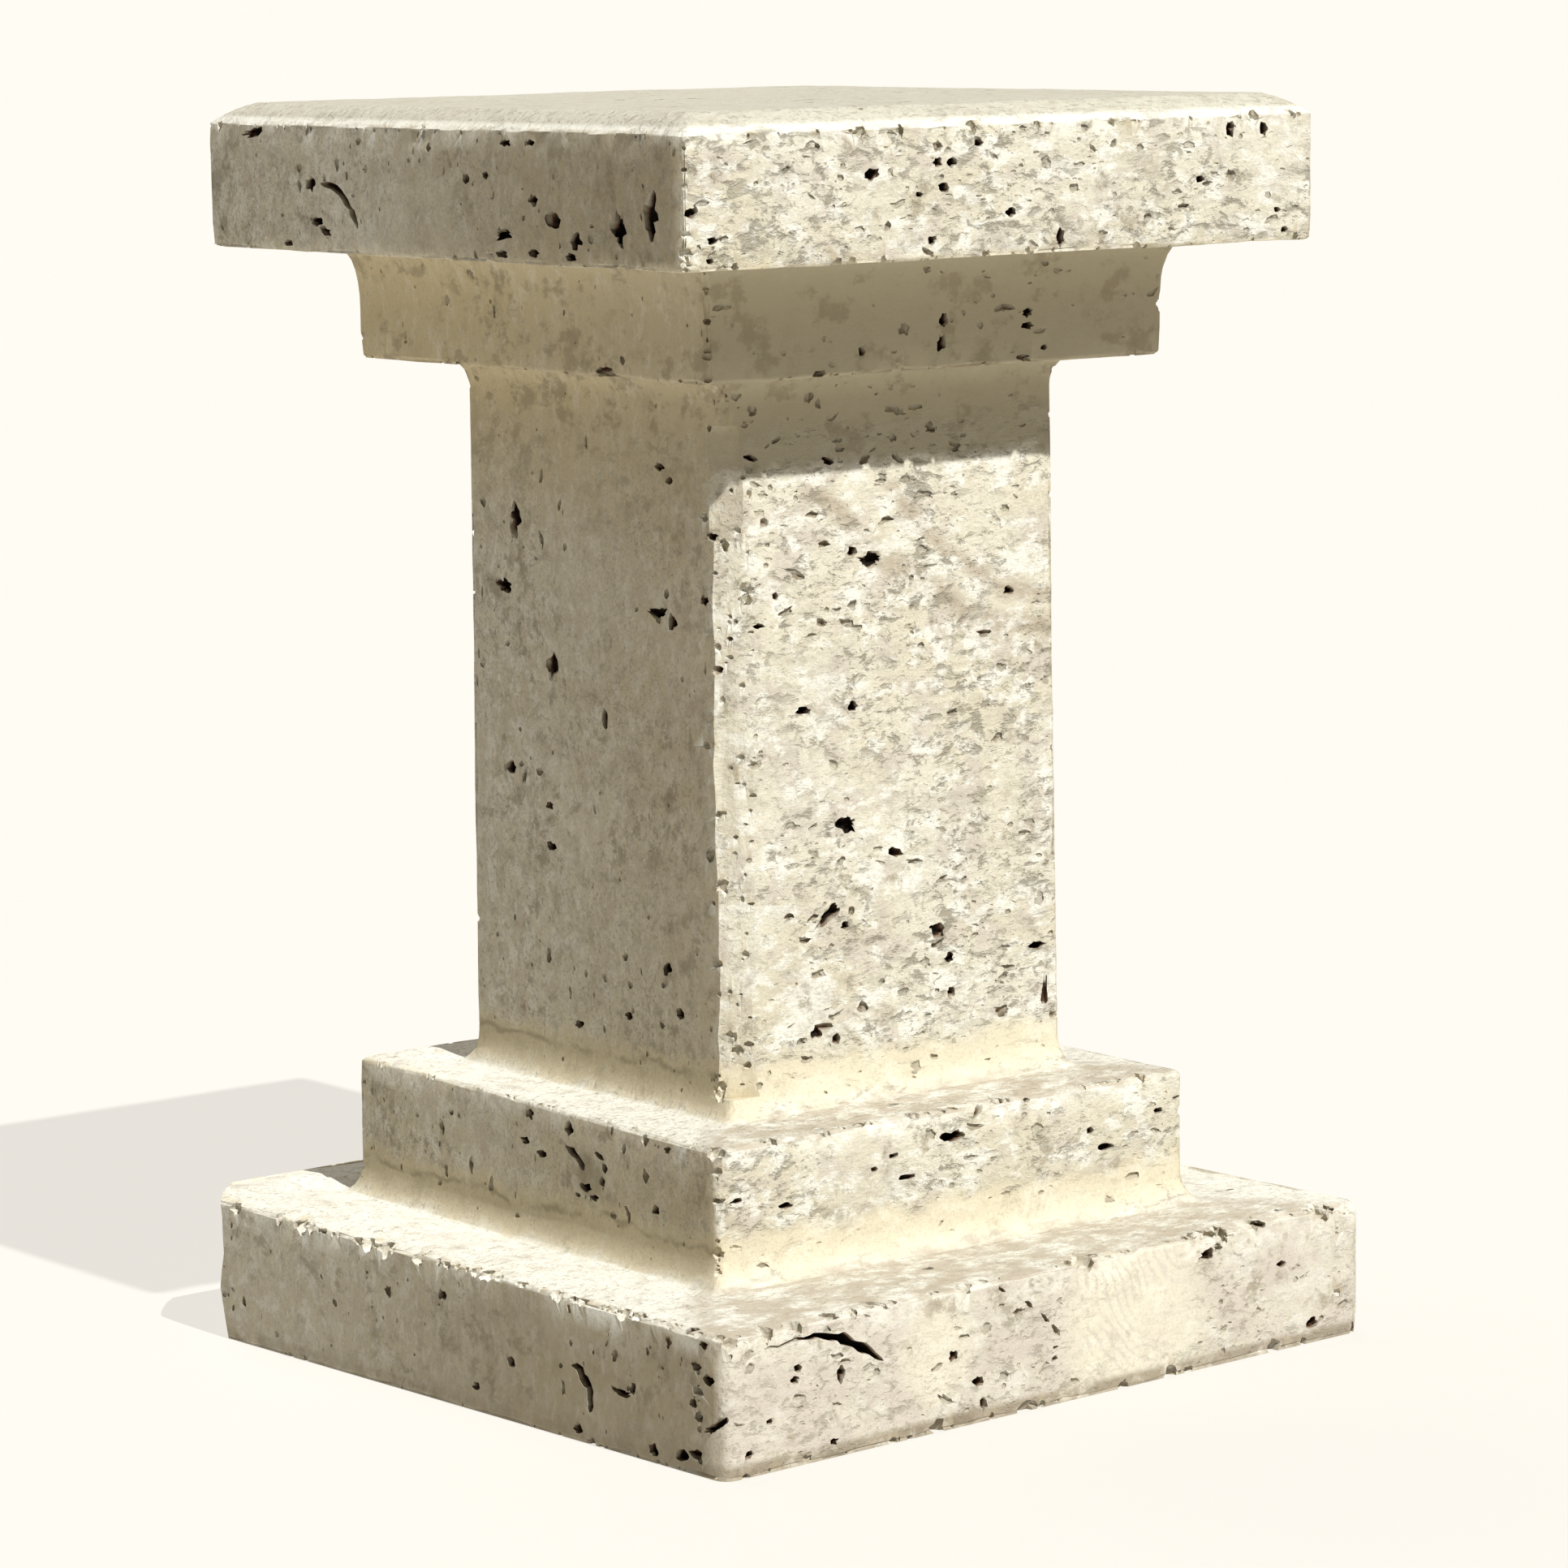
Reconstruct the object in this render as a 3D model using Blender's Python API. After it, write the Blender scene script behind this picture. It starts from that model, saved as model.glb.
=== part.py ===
# Carved travertine pedestal, cut from one block: a stepped square foot, a plain shaft,
# a coved neck and a thick square slab on top. Metres, +Z up, origin at the centre of the
# underside. The front is -Y and the side on its left is -X.
import math

import bmesh
import bpy
from mathutils import Matrix, Vector, noise

# Driving sizes: widths are across the square plan, heights are one above the other
PLINTH_WIDTH = 0.4155
PLINTH_HEIGHT = 0.0685
PLINTH_TURN = 2.5  # degrees that the hand-cut plinth stands askew of the blocks above it
STEP_WIDTH = 0.292
STEP_HEIGHT = 0.0675
SHAFT_FOOT_WIDTH = 0.2075
SHAFT_HEAD_WIDTH = 0.2045
SHAFT_HEIGHT = 0.348
NECK_WIDTH = 0.2795
NECK_HEIGHT = 0.0545
SLAB_WIDTH = 0.382
SLAB_HEIGHT = 0.061
CHAMFER_RUN = 0.017
CHAMFER_RISE = 0.0105
CHAMFER_SWELL = 0.0012  # how far the worn chamfer bulges past a straight line

# Hollows where one block dies into the next
FOOT_COVE_OUT = 0.008
FOOT_COVE_RISE = 0.015
HEAD_COVE_OUT = 0.009
HEAD_COVE_RISE = 0.014
NECK_COVE_OUT = 0.008
NECK_COVE_RISE = 0.030
TREAD_FALL = 0.002  # the trodden-looking ledges fall this much towards their edge

# Worn edges: radius of the level arrises, and of the upright corners of each block
ARRIS_RADIUS = 0.003
BED_ARRIS_RADIUS = 0.002
PLINTH_CORNER = 0.007
STEP_CORNER = 0.004
SHAFT_CORNER = 0.005
NECK_CORNER = 0.004
SLAB_CORNER = 0.004
CORNER_STEPS = 3
ARRIS_STEPS = 2
COVE_STEPS = 5

# Largest natural holes of the travertine on the two faces that show most of them:
# block, face, share along the face from its left end, share up the block,
# width, height, depth, lean in degrees
HOLES = (
    ("slab", "side", 0.85, 0.32, 0.011, 0.016, 0.010, 10),
    ("slab", "side", 0.94, 0.36, 0.007, 0.022, 0.010, 0),
    ("slab", "side", 0.25, 0.50, 0.013, 0.011, 0.006, -20),
    ("slab", "side", 0.31, 0.34, 0.006, 0.021, 0.005, -35),
    ("slab", "side", 0.65, 0.16, 0.017, 0.008, 0.007, 10),
    ("slab", "front", 0.875, 0.82, 0.009, 0.011, 0.007, 0),
    ("slab", "front", 0.927, 0.83, 0.007, 0.010, 0.007, 0),
    ("slab", "front", 0.31, 0.66, 0.010, 0.009, 0.006, 20),
    ("slab", "front", 0.43, 0.72, 0.008, 0.008, 0.006, 0),
    ("neck", "front", 0.50, 0.36, 0.008, 0.019, 0.006, 5),
    ("neck", "front", 0.68, 0.55, 0.007, 0.012, 0.006, 0),
    ("neck", "side", 0.71, 0.14, 0.014, 0.007, 0.006, 10),
    ("shaft", "side", 0.18, 0.78, 0.009, 0.022, 0.007, 8),
    ("shaft", "side", 0.14, 0.69, 0.010, 0.010, 0.006, 0),
    ("shaft", "side", 0.77, 0.63, 0.016, 0.011, 0.008, -25),
    ("shaft", "side", 0.35, 0.565, 0.008, 0.016, 0.006, 10),
    ("shaft", "side", 0.54, 0.48, 0.005, 0.016, 0.006, 0),
    ("shaft", "side", 0.78, 0.10, 0.009, 0.010, 0.007, 0),
    ("shaft", "front", 0.26, 0.50, 0.009, 0.007, 0.006, 0),
    ("shaft", "front", 0.41, 0.51, 0.007, 0.007, 0.006, 0),
    ("shaft", "front", 0.39, 0.34, 0.016, 0.013, 0.006, 20),
    ("shaft", "front", 0.33, 0.20, 0.014, 0.009, 0.006, 30),
    ("shaft", "front", 0.94, 0.16, 0.011, 0.009, 0.007, 10),
    ("step", "side", 0.65, 0.45, 0.022, 0.024, 0.009, 10),
    ("step", "front", 0.51, 0.60, 0.013, 0.008, 0.008, 0),
    ("step", "front", 0.83, 0.50, 0.010, 0.007, 0.006, 0),
    ("plinth", "side", 0.735, 0.38, 0.010, 0.026, 0.008, 12),
    ("plinth", "side", 0.82, 0.44, 0.015, 0.012, 0.007, 0),
    ("plinth", "front", 0.145, 0.60, 0.030, 0.006, 0.007, -4),
    ("plinth", "front", 0.222, 0.54, 0.024, 0.006, 0.007, -18),
    ("plinth", "front", 0.40, 0.34, 0.011, 0.010, 0.006, 0),
    ("plinth", "front", 0.93, 0.16, 0.008, 0.010, 0.005, 0),
)
HOLE_SINK = 0.35  # share of a hole's depth that its middle lies under the face
HOLE_ROUGHNESS = 0.22
CHIP_ROUGHNESS = 0.30

# Chips knocked off arrises: block, which level arris, face, share along, length, bite
CHIPS = (
    ("neck", "low", "side", 0.70, 0.020, 0.005),
    ("slab", "low", "front", 0.60, 0.009, 0.007),
    ("slab", "low", "side", 0.70, 0.030, 0.005),
    ("plinth", "low", "front", 0.22, 0.028, 0.006),
    ("plinth", "high", "front", 0.80, 0.018, 0.005),
)

# The plinth's left rear corner is broken off, and the shaft's near arris is cut flat
# for a stretch under the neck
BREAK_LEG = 0.031  # from the sharp corner along each face, at the top of the plinth
BREAK_FOOT_LEG = 0.036
FLAT_LEG = 0.0068
FLAT_TOP = 0.468
FLAT_FOOT = 0.405

# Heights that follow
STEP_BASE = PLINTH_HEIGHT
SHAFT_BASE = STEP_BASE + STEP_HEIGHT
NECK_BASE = SHAFT_BASE + SHAFT_HEIGHT
SLAB_BASE = NECK_BASE + NECK_HEIGHT
CHAMFER_BASE = SLAB_BASE + SLAB_HEIGHT
TOP = CHAMFER_BASE + CHAMFER_RISE


def arc(centre, run, rise, start, end, steps):
    # Points on an ellipse in the profile plane, from start to end in degrees
    points = []
    for i in range(steps + 1):
        angle = math.radians(start + (end - start) * i / steps)
        points.append((centre[0] + run * math.cos(angle), centre[1] + rise * math.sin(angle)))
    return points


def low_arris(half, base, radius):
    return arc((half - radius, base + radius), radius, radius, -90, 0, ARRIS_STEPS)


def high_arris(half, top, radius):
    return arc((half - radius, top - radius), radius, radius, 0, 90, ARRIS_STEPS)


def foot_cove(half, base, out, rise):
    # Hollow that lands on a ledge: it starts level and ends upright
    return arc((half + out, base + rise), out, rise, 270, 180, COVE_STEPS)


def head_cove(half, top, out, rise):
    # Hollow under an overhang: it starts upright and ends level
    return arc((half + out, top - rise), out, rise, 180, 90, COVE_STEPS)


def chamfer(half, base):
    low = Vector((half, base))
    high = Vector((half - CHAMFER_RUN, base + CHAMFER_RISE))
    across = Vector((CHAMFER_RISE, CHAMFER_RUN)).normalized()
    points = []
    for share in (0.0, 0.33, 0.67, 1.0):
        swell = CHAMFER_SWELL * math.sin(math.pi * share)
        points.append(tuple(low.lerp(high, share) + across * swell))
    return points


def profile():
    # (half width, height, corner radius) from the underside up to the top bed
    rings = []

    def add(points, corner):
        rings.extend((half, height, corner) for half, height in points)

    plinth = PLINTH_WIDTH / 2
    step = STEP_WIDTH / 2
    foot = SHAFT_FOOT_WIDTH / 2
    head = SHAFT_HEAD_WIDTH / 2
    neck = NECK_WIDTH / 2
    slab = SLAB_WIDTH / 2
    add(low_arris(plinth, 0.0, BED_ARRIS_RADIUS), PLINTH_CORNER)
    add(high_arris(plinth, PLINTH_HEIGHT - TREAD_FALL, ARRIS_RADIUS), PLINTH_CORNER)
    add(foot_cove(step, STEP_BASE, FOOT_COVE_OUT, FOOT_COVE_RISE), STEP_CORNER)
    add(high_arris(step, SHAFT_BASE - TREAD_FALL, ARRIS_RADIUS), STEP_CORNER)
    add(foot_cove(foot, SHAFT_BASE, FOOT_COVE_OUT, FOOT_COVE_RISE), SHAFT_CORNER)
    add(head_cove(head, NECK_BASE, HEAD_COVE_OUT, HEAD_COVE_RISE), SHAFT_CORNER)
    add(low_arris(neck, NECK_BASE, ARRIS_RADIUS), NECK_CORNER)
    add(head_cove(neck, SLAB_BASE, NECK_COVE_OUT, NECK_COVE_RISE), NECK_CORNER)
    add(low_arris(slab, SLAB_BASE, ARRIS_RADIUS), SLAB_CORNER)
    add(chamfer(slab, CHAMFER_BASE), SLAB_CORNER)
    return rings


def corner_point(side, turn, half, radius):
    # A point on the rounded corner of a square: side holds the corner's two signs
    x = side[0] * (half - radius + radius * math.cos(turn))
    y = side[1] * (half - radius + radius * math.sin(turn))
    return x, y


def plinth_turn(height):
    # The turn that a point of the plinth gets; it fades out across the ledge
    share = (STEP_BASE - height) / TREAD_FALL
    return Matrix.Rotation(math.radians(PLINTH_TURN) * min(1.0, max(0.0, share)), 3, "Z")


def block_mesh():
    # A rounded square is drawn for the underside, then its face is extruded ring by ring
    rings = profile()
    half, height, radius = rings[0]
    build = bmesh.new()
    bmesh.ops.create_grid(build, x_segments=1, y_segments=1, size=half)
    bmesh.ops.bevel(
        build,
        geom=build.verts[:],
        offset=radius,
        offset_type="OFFSET",
        segments=CORNER_STEPS,
        profile=0.5,
        affect="VERTICES",
        material=-1,
    )
    underside = next(iter(build.faces))
    top_face = underside
    for next_half, next_height, next_radius in rings[1:]:
        made = bmesh.ops.extrude_face_region(build, geom=[top_face])
        if top_face != underside:
            bmesh.ops.delete(build, geom=[top_face], context="FACES_ONLY")
        top_face = next(item for item in made["geom"] if isinstance(item, bmesh.types.BMFace))
        for corner in top_face.verts:
            side = (math.copysign(1, corner.co.x), math.copysign(1, corner.co.y))
            middle = half - radius
            turn = math.atan2(abs(corner.co.y) - middle, abs(corner.co.x) - middle)
            corner.co = (*corner_point(side, turn, next_half, next_radius), next_height)
        half, radius = next_half, next_radius
    for corner in build.verts:
        corner.co = plinth_turn(corner.co.z) @ corner.co
    bmesh.ops.recalc_face_normals(build, faces=build.faces[:])
    return build


def face_frame(block, face):
    # Foot and head height, half widths there, and the directions along and out of one face
    low, high, low_half, high_half = {
        "plinth": (0.0, STEP_BASE, PLINTH_WIDTH / 2, PLINTH_WIDTH / 2),
        "step": (STEP_BASE, SHAFT_BASE, STEP_WIDTH / 2, STEP_WIDTH / 2),
        "shaft": (SHAFT_BASE, NECK_BASE, SHAFT_FOOT_WIDTH / 2, SHAFT_HEAD_WIDTH / 2),
        "neck": (NECK_BASE, SLAB_BASE, NECK_WIDTH / 2, NECK_WIDTH / 2),
        "slab": (SLAB_BASE, CHAMFER_BASE, SLAB_WIDTH / 2, SLAB_WIDTH / 2),
    }[block]
    along, outward = {
        "front": (Vector((1, 0, 0)), Vector((0, -1, 0))),
        "side": (Vector((0, -1, 0)), Vector((-1, 0, 0))),
    }[face]
    if block == "plinth":
        along, outward = plinth_turn(low) @ along, plinth_turn(low) @ outward
    return low, high, low_half, high_half, along, outward


def point_on_face(block, face, share_along, share_up):
    low, high, low_half, high_half, along, outward = face_frame(block, face)
    half = low_half + (high_half - low_half) * share_up
    height = low + (high - low) * share_up
    return along * half * (2 * share_along - 1) + outward * half + Vector((0, 0, height))


def add_pebble(build, centre, along, outward, size, lean, roughness, seed):
    # A lumpy ball, size across, up and deep, that hollows the face where it stands
    up = Vector((0, 0, 1))
    turn = Matrix.Rotation(math.radians(lean), 4, outward)
    axes = Matrix((turn @ along, turn @ up, outward)).transposed()
    made = bmesh.ops.create_icosphere(build, subdivisions=2, radius=1.0)
    for corner in made["verts"]:
        ball = corner.co.copy()
        lump = 1 + roughness * noise.noise(ball * 1.4 + Vector((seed * 3.1, seed * 1.7, seed)))
        scaled = Vector((ball.x * size[0] / 2, ball.y * size[1] / 2, ball.z * size[2] / 2))
        corner.co = centre + axes @ (scaled * lump)


def hole_cutters():
    build = bmesh.new()
    for seed, (block, face, share_along, share_up, width, height, depth, lean) in enumerate(HOLES):
        along, outward = face_frame(block, face)[4:]
        centre = point_on_face(block, face, share_along, share_up) - outward * depth * HOLE_SINK
        size = (width, height, 2 * depth * (1 - HOLE_SINK))
        add_pebble(build, centre, along, outward, size, lean, HOLE_ROUGHNESS, seed)
    bmesh.ops.recalc_face_normals(build, faces=build.faces[:])
    return build


def chip_cutters():
    build = bmesh.new()
    for seed, (block, arris, face, share_along, length, bite) in enumerate(CHIPS):
        along, outward = face_frame(block, face)[4:]
        centre = point_on_face(block, face, share_along, 0.0 if arris == "low" else 1.0)
        size = (length, 2 * bite, 2 * bite)
        add_pebble(build, centre, along, outward, size, 0, CHIP_ROUGHNESS, seed)
    bmesh.ops.recalc_face_normals(build, faces=build.faces[:])
    return build


def corner_wedge(build, edge_foot, edge_head, foot_leg, head_leg):
    # Cuts an upright corner flat: the edge runs from foot to head, and each leg is how far
    # the cut reaches along the two faces
    outward = Vector((edge_foot.x, edge_foot.y, 0)).normalized()
    along = Vector((0, 0, 1)).cross(outward)
    made = bmesh.ops.create_cube(build, size=1.0)
    for corner in made["verts"]:
        head = corner.co.z > 0
        edge, leg = (edge_head, head_leg) if head else (edge_foot, foot_leg)
        inset = leg * math.sqrt(0.5)
        reach = 1.6 * leg
        depth = 2 * leg if corner.co.x > 0 else -inset
        corner.co = edge + outward * depth + along * reach * math.copysign(1, corner.co.y)


def wedge_cutters():
    build = bmesh.new()
    plinth = PLINTH_WIDTH / 2
    foot = plinth_turn(0.0) @ Vector((-plinth, plinth, -0.01))
    head = plinth_turn(0.0) @ Vector((-plinth, plinth, PLINTH_HEIGHT + 0.01))
    corner_wedge(build, foot, head, BREAK_FOOT_LEG, BREAK_LEG)
    shaft = SHAFT_HEAD_WIDTH / 2
    foot = Vector((-shaft, -shaft, FLAT_FOOT))
    head = Vector((-shaft, -shaft, FLAT_TOP))
    corner_wedge(build, foot, head, FLAT_LEG, FLAT_LEG)
    bmesh.ops.recalc_face_normals(build, faces=build.faces[:])
    return build


def travertine():
    material = bpy.data.materials.new("travertine")
    material.use_nodes = True
    shader = material.node_tree.nodes["Principled BSDF"]
    shader.inputs["Base Color"].default_value = (0.78, 0.72, 0.58, 1)
    shader.inputs["Roughness"].default_value = 0.9
    shader.inputs["Metallic"].default_value = 0.0
    return material


def new_object(name, build):
    mesh = bpy.data.meshes.new(name)
    build.to_mesh(mesh)
    build.free()
    made = bpy.data.objects.new(name, mesh)
    bpy.context.scene.collection.objects.link(made)
    return made


def make_pedestal():
    pedestal = new_object("pedestal", block_mesh())
    pedestal.data.materials.append(travertine())
    cutters = {
        "broken_corners": wedge_cutters(),
        "natural_holes": hole_cutters(),
        "knocked_chips": chip_cutters(),
    }
    for name, build in cutters.items():
        cutter = new_object(name, build)
        cutter.hide_render = True
        cutter.display_type = "WIRE"
        cut = pedestal.modifiers.new(name, "BOOLEAN")
        cut.operation = "DIFFERENCE"
        cut.solver = "EXACT"
        cut.object = cutter


for old in list(bpy.data.objects):
    bpy.data.objects.remove(old, do_unlink=True)
make_pedestal()
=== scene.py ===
import math
import random
from itertools import product
from types import SimpleNamespace

import bmesh
import bpy
from mathutils import Matrix, Vector, noise
from mathutils.bvhtree import BVHTree


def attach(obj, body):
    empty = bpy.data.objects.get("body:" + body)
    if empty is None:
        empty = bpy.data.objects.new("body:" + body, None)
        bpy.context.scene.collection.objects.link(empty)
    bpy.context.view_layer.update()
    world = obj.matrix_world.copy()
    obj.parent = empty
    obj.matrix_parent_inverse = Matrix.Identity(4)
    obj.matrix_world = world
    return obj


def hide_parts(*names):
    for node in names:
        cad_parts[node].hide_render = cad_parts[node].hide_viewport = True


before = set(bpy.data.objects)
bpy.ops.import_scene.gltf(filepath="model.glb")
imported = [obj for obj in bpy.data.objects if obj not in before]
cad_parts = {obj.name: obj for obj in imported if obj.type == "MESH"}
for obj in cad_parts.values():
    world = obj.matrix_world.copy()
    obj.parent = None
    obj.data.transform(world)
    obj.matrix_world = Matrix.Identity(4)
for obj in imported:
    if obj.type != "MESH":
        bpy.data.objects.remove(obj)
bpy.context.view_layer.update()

photoSide = 1932  # pixels along each side of the photograph

# The photograph's point of view: azimuth 0 looks along +Y, and the picture leans a little
camera = {
    "azimuth": -38.34,
    "distance": 2.788,
    "height": 0.6771,
    "pitch": 8.223,
    "aside": 0.21,  # degrees that the lens looks to the right of the pedestal's middle
    "roll": -0.741,
    "lens": 131.66,
    "sensor": 36.0,
}

light = {
    "sunAzimuth": 0.0,  # degrees from square-on to the front, towards the right
    "sunElevation": 49.6,
    "sunStrength": 4.85,
    "sunAngle": 0.7,
    "sunColor": (1.0, 0.995, 0.97),
    "skyColor": (1.0, 0.93, 0.80),
    "skyStrength": 0.05,
    "rearElevation": 60.0,  # a broad weak light from behind, which reaches the treads only
    "rearStrength": 1.15,
    "rearAngle": 40.0,
    "rearColor": (1.0, 0.96, 0.93),
    "floorColor": (0.17, 0.165, 0.15),
    "floorGlow": 0.72,  # the floor is a lit table, so the block's own shadow on it stays pale
    "floorGlowColor": (1.0, 0.965, 0.90),
    "floorSize": 160.0,
}

# The block's own sizes in metres, from the foot up, as the frame has them
block = {
    "plinthWidth": 0.4155,
    "plinthHeight": 0.0685,
    "plinthTurn": 2.5,  # degrees that the plinth stands askew of the blocks above it
    "stepWidth": 0.292,
    "stepHeight": 0.0675,
    "shaftFootWidth": 0.2075,
    "shaftHeadWidth": 0.2045,
    "shaftHeight": 0.348,
    "neckWidth": 0.2795,
    "neckHeight": 0.0545,
    "slabWidth": 0.382,
    "slabHeight": 0.061,
    "chamferRun": 0.017,
    "chamferRise": 0.0105,
    "chamferSwell": 0.0012,
    "footCove": (0.008, 0.015),  # out, up
    "headCove": (0.009, 0.014),
    "neckCove": (0.008, 0.030),
    "treadFall": 0.002,
    "arris": 0.003,
    "bedArris": 0.002,
    "plinthCorner": 0.007,
    "stepCorner": 0.004,
    "shaftCorner": 0.005,
    "neckCorner": 0.004,
    "slabCorner": 0.004,
    "breakLeg": 0.031,  # the broken left rear corner of the plinth, at its top and foot
    "breakFootLeg": 0.036,
    "flatLeg": 0.0122,  # the flat on the shaft's near arris, and where it ends
    "flatTop": 0.462,
    "flatFoot": 0.408,
    "rubbedLeg": 0.0134,  # the rubbed stretch below it, and how far that turns to the front
    "rubbedTurn": 17.0,
    "rowStep": 0.0088,  # height of a row of faces on a plain stretch
    "bedStep": 0.012,  # the same on the top bed
    "column": 0.0088,  # width of a column of faces
}


def clamp(value):
    return min(1.0, max(0.0, value))


def levels():
    # heights at which one moulding ends and the next begins
    stepBase = block["plinthHeight"]
    shaftBase = stepBase + block["stepHeight"]
    neckBase = shaftBase + block["shaftHeight"]
    slabBase = neckBase + block["neckHeight"]
    chamferBase = slabBase + block["slabHeight"]
    return stepBase, shaftBase, neckBase, slabBase, chamferBase, chamferBase + block["chamferRise"]


def arc(centre, run, rise, start, end, steps):
    points = []
    for i in range(steps + 1):
        turn = math.radians(start + (end - start) * i / steps)
        points.append((centre[0] + run * math.cos(turn), centre[1] + rise * math.sin(turn)))
    return points


def lowArris(half, base, radius):
    return arc((half - radius, base + radius), radius, radius, -90, 0, 4)


def highArris(half, top, radius):
    return arc((half - radius, top - radius), radius, radius, 0, 90, 4)


def footCove(half, base, cove):
    return arc((half + cove[0], base + cove[1]), cove[0], cove[1], 270, 180, 7)


def headCove(half, top, cove):
    return arc((half + cove[0], top - cove[1]), cove[0], cove[1], 180, 90, 7)


def chamfer(half, base):
    low = Vector((half, base))
    high = Vector((half - block["chamferRun"], base + block["chamferRise"]))
    across = Vector((block["chamferRise"], block["chamferRun"])).normalized()
    points = []
    for i in range(6):
        share = i / 5
        swell = across * block["chamferSwell"] * math.sin(math.pi * share)
        points.append(tuple(low.lerp(high, share) + swell))
    return points


def profileRows():
    # half width, height and corner radius of every row, from the underside to the top bed
    stepBase, shaftBase, neckBase, slabBase, chamferBase, top = levels()
    rows = []

    def add(points, corner):
        for half, height in points:
            if rows:  # plain stretches are filled with rows of even height
                oldHalf, oldHeight, oldCorner = rows[-1]
                gap = math.hypot(half - oldHalf, height - oldHeight)
                cuts = int(gap / block["rowStep"])
                for i in range(1, cuts):
                    share = i / cuts
                    rows.append((
                        oldHalf + (half - oldHalf) * share,
                        oldHeight + (height - oldHeight) * share,
                        oldCorner + (corner - oldCorner) * share,
                    ))
            rows.append((half, height, corner))

    fall = block["treadFall"]
    plinth = block["plinthWidth"] / 2
    step = block["stepWidth"] / 2
    neck = block["neckWidth"] / 2
    slab = block["slabWidth"] / 2
    add(lowArris(plinth, 0.0, block["bedArris"]), block["plinthCorner"])
    add(highArris(plinth, stepBase - fall, block["arris"]), block["plinthCorner"])
    add(footCove(step, stepBase, block["footCove"]), block["stepCorner"])
    add(highArris(step, shaftBase - fall, block["arris"]), block["stepCorner"])
    add(footCove(block["shaftFootWidth"] / 2, shaftBase, block["footCove"]), block["shaftCorner"])
    add(headCove(block["shaftHeadWidth"] / 2, neckBase, block["headCove"]), block["shaftCorner"])
    add(lowArris(neck, neckBase, block["arris"]), block["neckCorner"])
    add(headCove(neck, slabBase, block["neckCove"]), block["neckCorner"])
    add(lowArris(slab, slabBase, block["arris"]), block["slabCorner"])
    add(chamfer(slab, chamferBase), block["slabCorner"])
    inner = block["slabWidth"] / 2 - block["chamferRun"] - block["bedStep"]
    while inner > block["bedStep"]:  # the top bed closes in rings
        rows.append((inner, top, block["slabCorner"] * min(1.0, inner / 0.05)))
        inner -= block["bedStep"]
    return rows


def moveRing(face, old, new):
    # carries a ring's corners from one row's half width and corner radius to the next
    oldMiddle = old[0] - old[2]
    for point in face.verts:
        side = (math.copysign(1, point.co.x), math.copysign(1, point.co.y))
        turn = math.atan2(abs(point.co.y) - oldMiddle, abs(point.co.x) - oldMiddle)
        point.co = (
            side[0] * (new[0] - new[2] + new[2] * math.cos(turn)),
            side[1] * (new[0] - new[2] + new[2] * math.sin(turn)),
            new[1],
        )


def extrudeRow(build, face, old, new, keep=False):
    made = bmesh.ops.extrude_face_region(build, geom=[face])
    if not keep:
        bmesh.ops.delete(build, geom=[face], context="FACES_ONLY")
    nextFace = next(item for item in made["geom"] if isinstance(item, bmesh.types.BMFace))
    moveRing(nextFace, old, new)
    return nextFace


def sliceColumns(build):
    # upright cuts give every face columns narrow enough to wear
    half = block["plinthWidth"] / 2
    for normal in (Vector((1, 0, 0)), Vector((0, 1, 0))):
        place = -half + block["column"]
        while place < half:
            bmesh.ops.bisect_plane(
                build, geom=build.verts[:] + build.edges[:] + build.faces[:],
                dist=0.00002, plane_co=normal * place, plane_no=normal,
            )
            place += block["column"]


def plinthTurn(height):
    # the turn that a point of the plinth gets; it fades out across the ledge
    share = (block["plinthHeight"] - height) / block["treadFall"]
    return Matrix.Rotation(math.radians(block["plinthTurn"]) * clamp(share), 3, "Z")


def makeBlock():
    rows = profileRows()
    build = bmesh.new()
    bmesh.ops.create_grid(build, x_segments=1, y_segments=1, size=rows[0][0])
    bmesh.ops.bevel(
        build, geom=build.verts[:], offset=rows[0][2], offset_type="OFFSET",
        segments=4, profile=0.5, affect="VERTICES", material=-1,
    )
    face = next(iter(build.faces))
    underside = face
    for old, new in zip(rows, rows[1:]):
        face = extrudeRow(build, face, old, new, keep=face == underside)
    bmesh.ops.recalc_face_normals(build, faces=build.faces[:])
    sliceColumns(build)
    for point in build.verts:
        point.co = plinthTurn(point.co.z) @ point.co
    print("block:", len(build.verts), "points,", len(build.faces), "faces")
    return build


# The two ledges rise a little towards their left rear corner: how much, how far down the block
# the rise reaches, and the half width where the cove begins
rises = {
    "plinth": {"rise": 0.0048, "level": 0, "reach": 0.034, "inner": 0.156},
    "step": {"rise": 0.0036, "level": 1, "reach": 0.034, "inner": 0.114},
}


def raiseLedges(build):
    for settings in rises.values():
        level = levels()[settings["level"]]
        for point in build.verts:
            x, y, z = point.co
            out = max(abs(x), abs(y))
            if z > level + 0.0005 or z < level - settings["reach"]:
                continue
            share = clamp((z - level + settings["reach"]) / settings["reach"])
            share *= clamp((out - settings["inner"]) / 0.02) * clamp((y - x) / (2 * settings["inner"]))
            point.co.z += settings["rise"] * share


wear = {
    "arrisDepth": 0.0015,
    "sharpBend": 0.6,  # an edge that turns this far, in radians, is worn in full
    "arrisPitch": 42.0,  # lumps per metre along an arris
    "arrisFinePitch": 130.0,
    "raggedLow": 0.055,  # the plinth's upper arris is worn more
    "raggedHigh": 0.0725,
    "raggedMore": 2.2,
    "swellDepth": 0.0010,  # slow hollows of the hand-worked faces
    "swellPitch": 13.0,
    "dentDepth": 0.0005,
    "dentPitch": 60.0,
    "bedHeight": 0.0004,  # points this low stay on the ground
}


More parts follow.
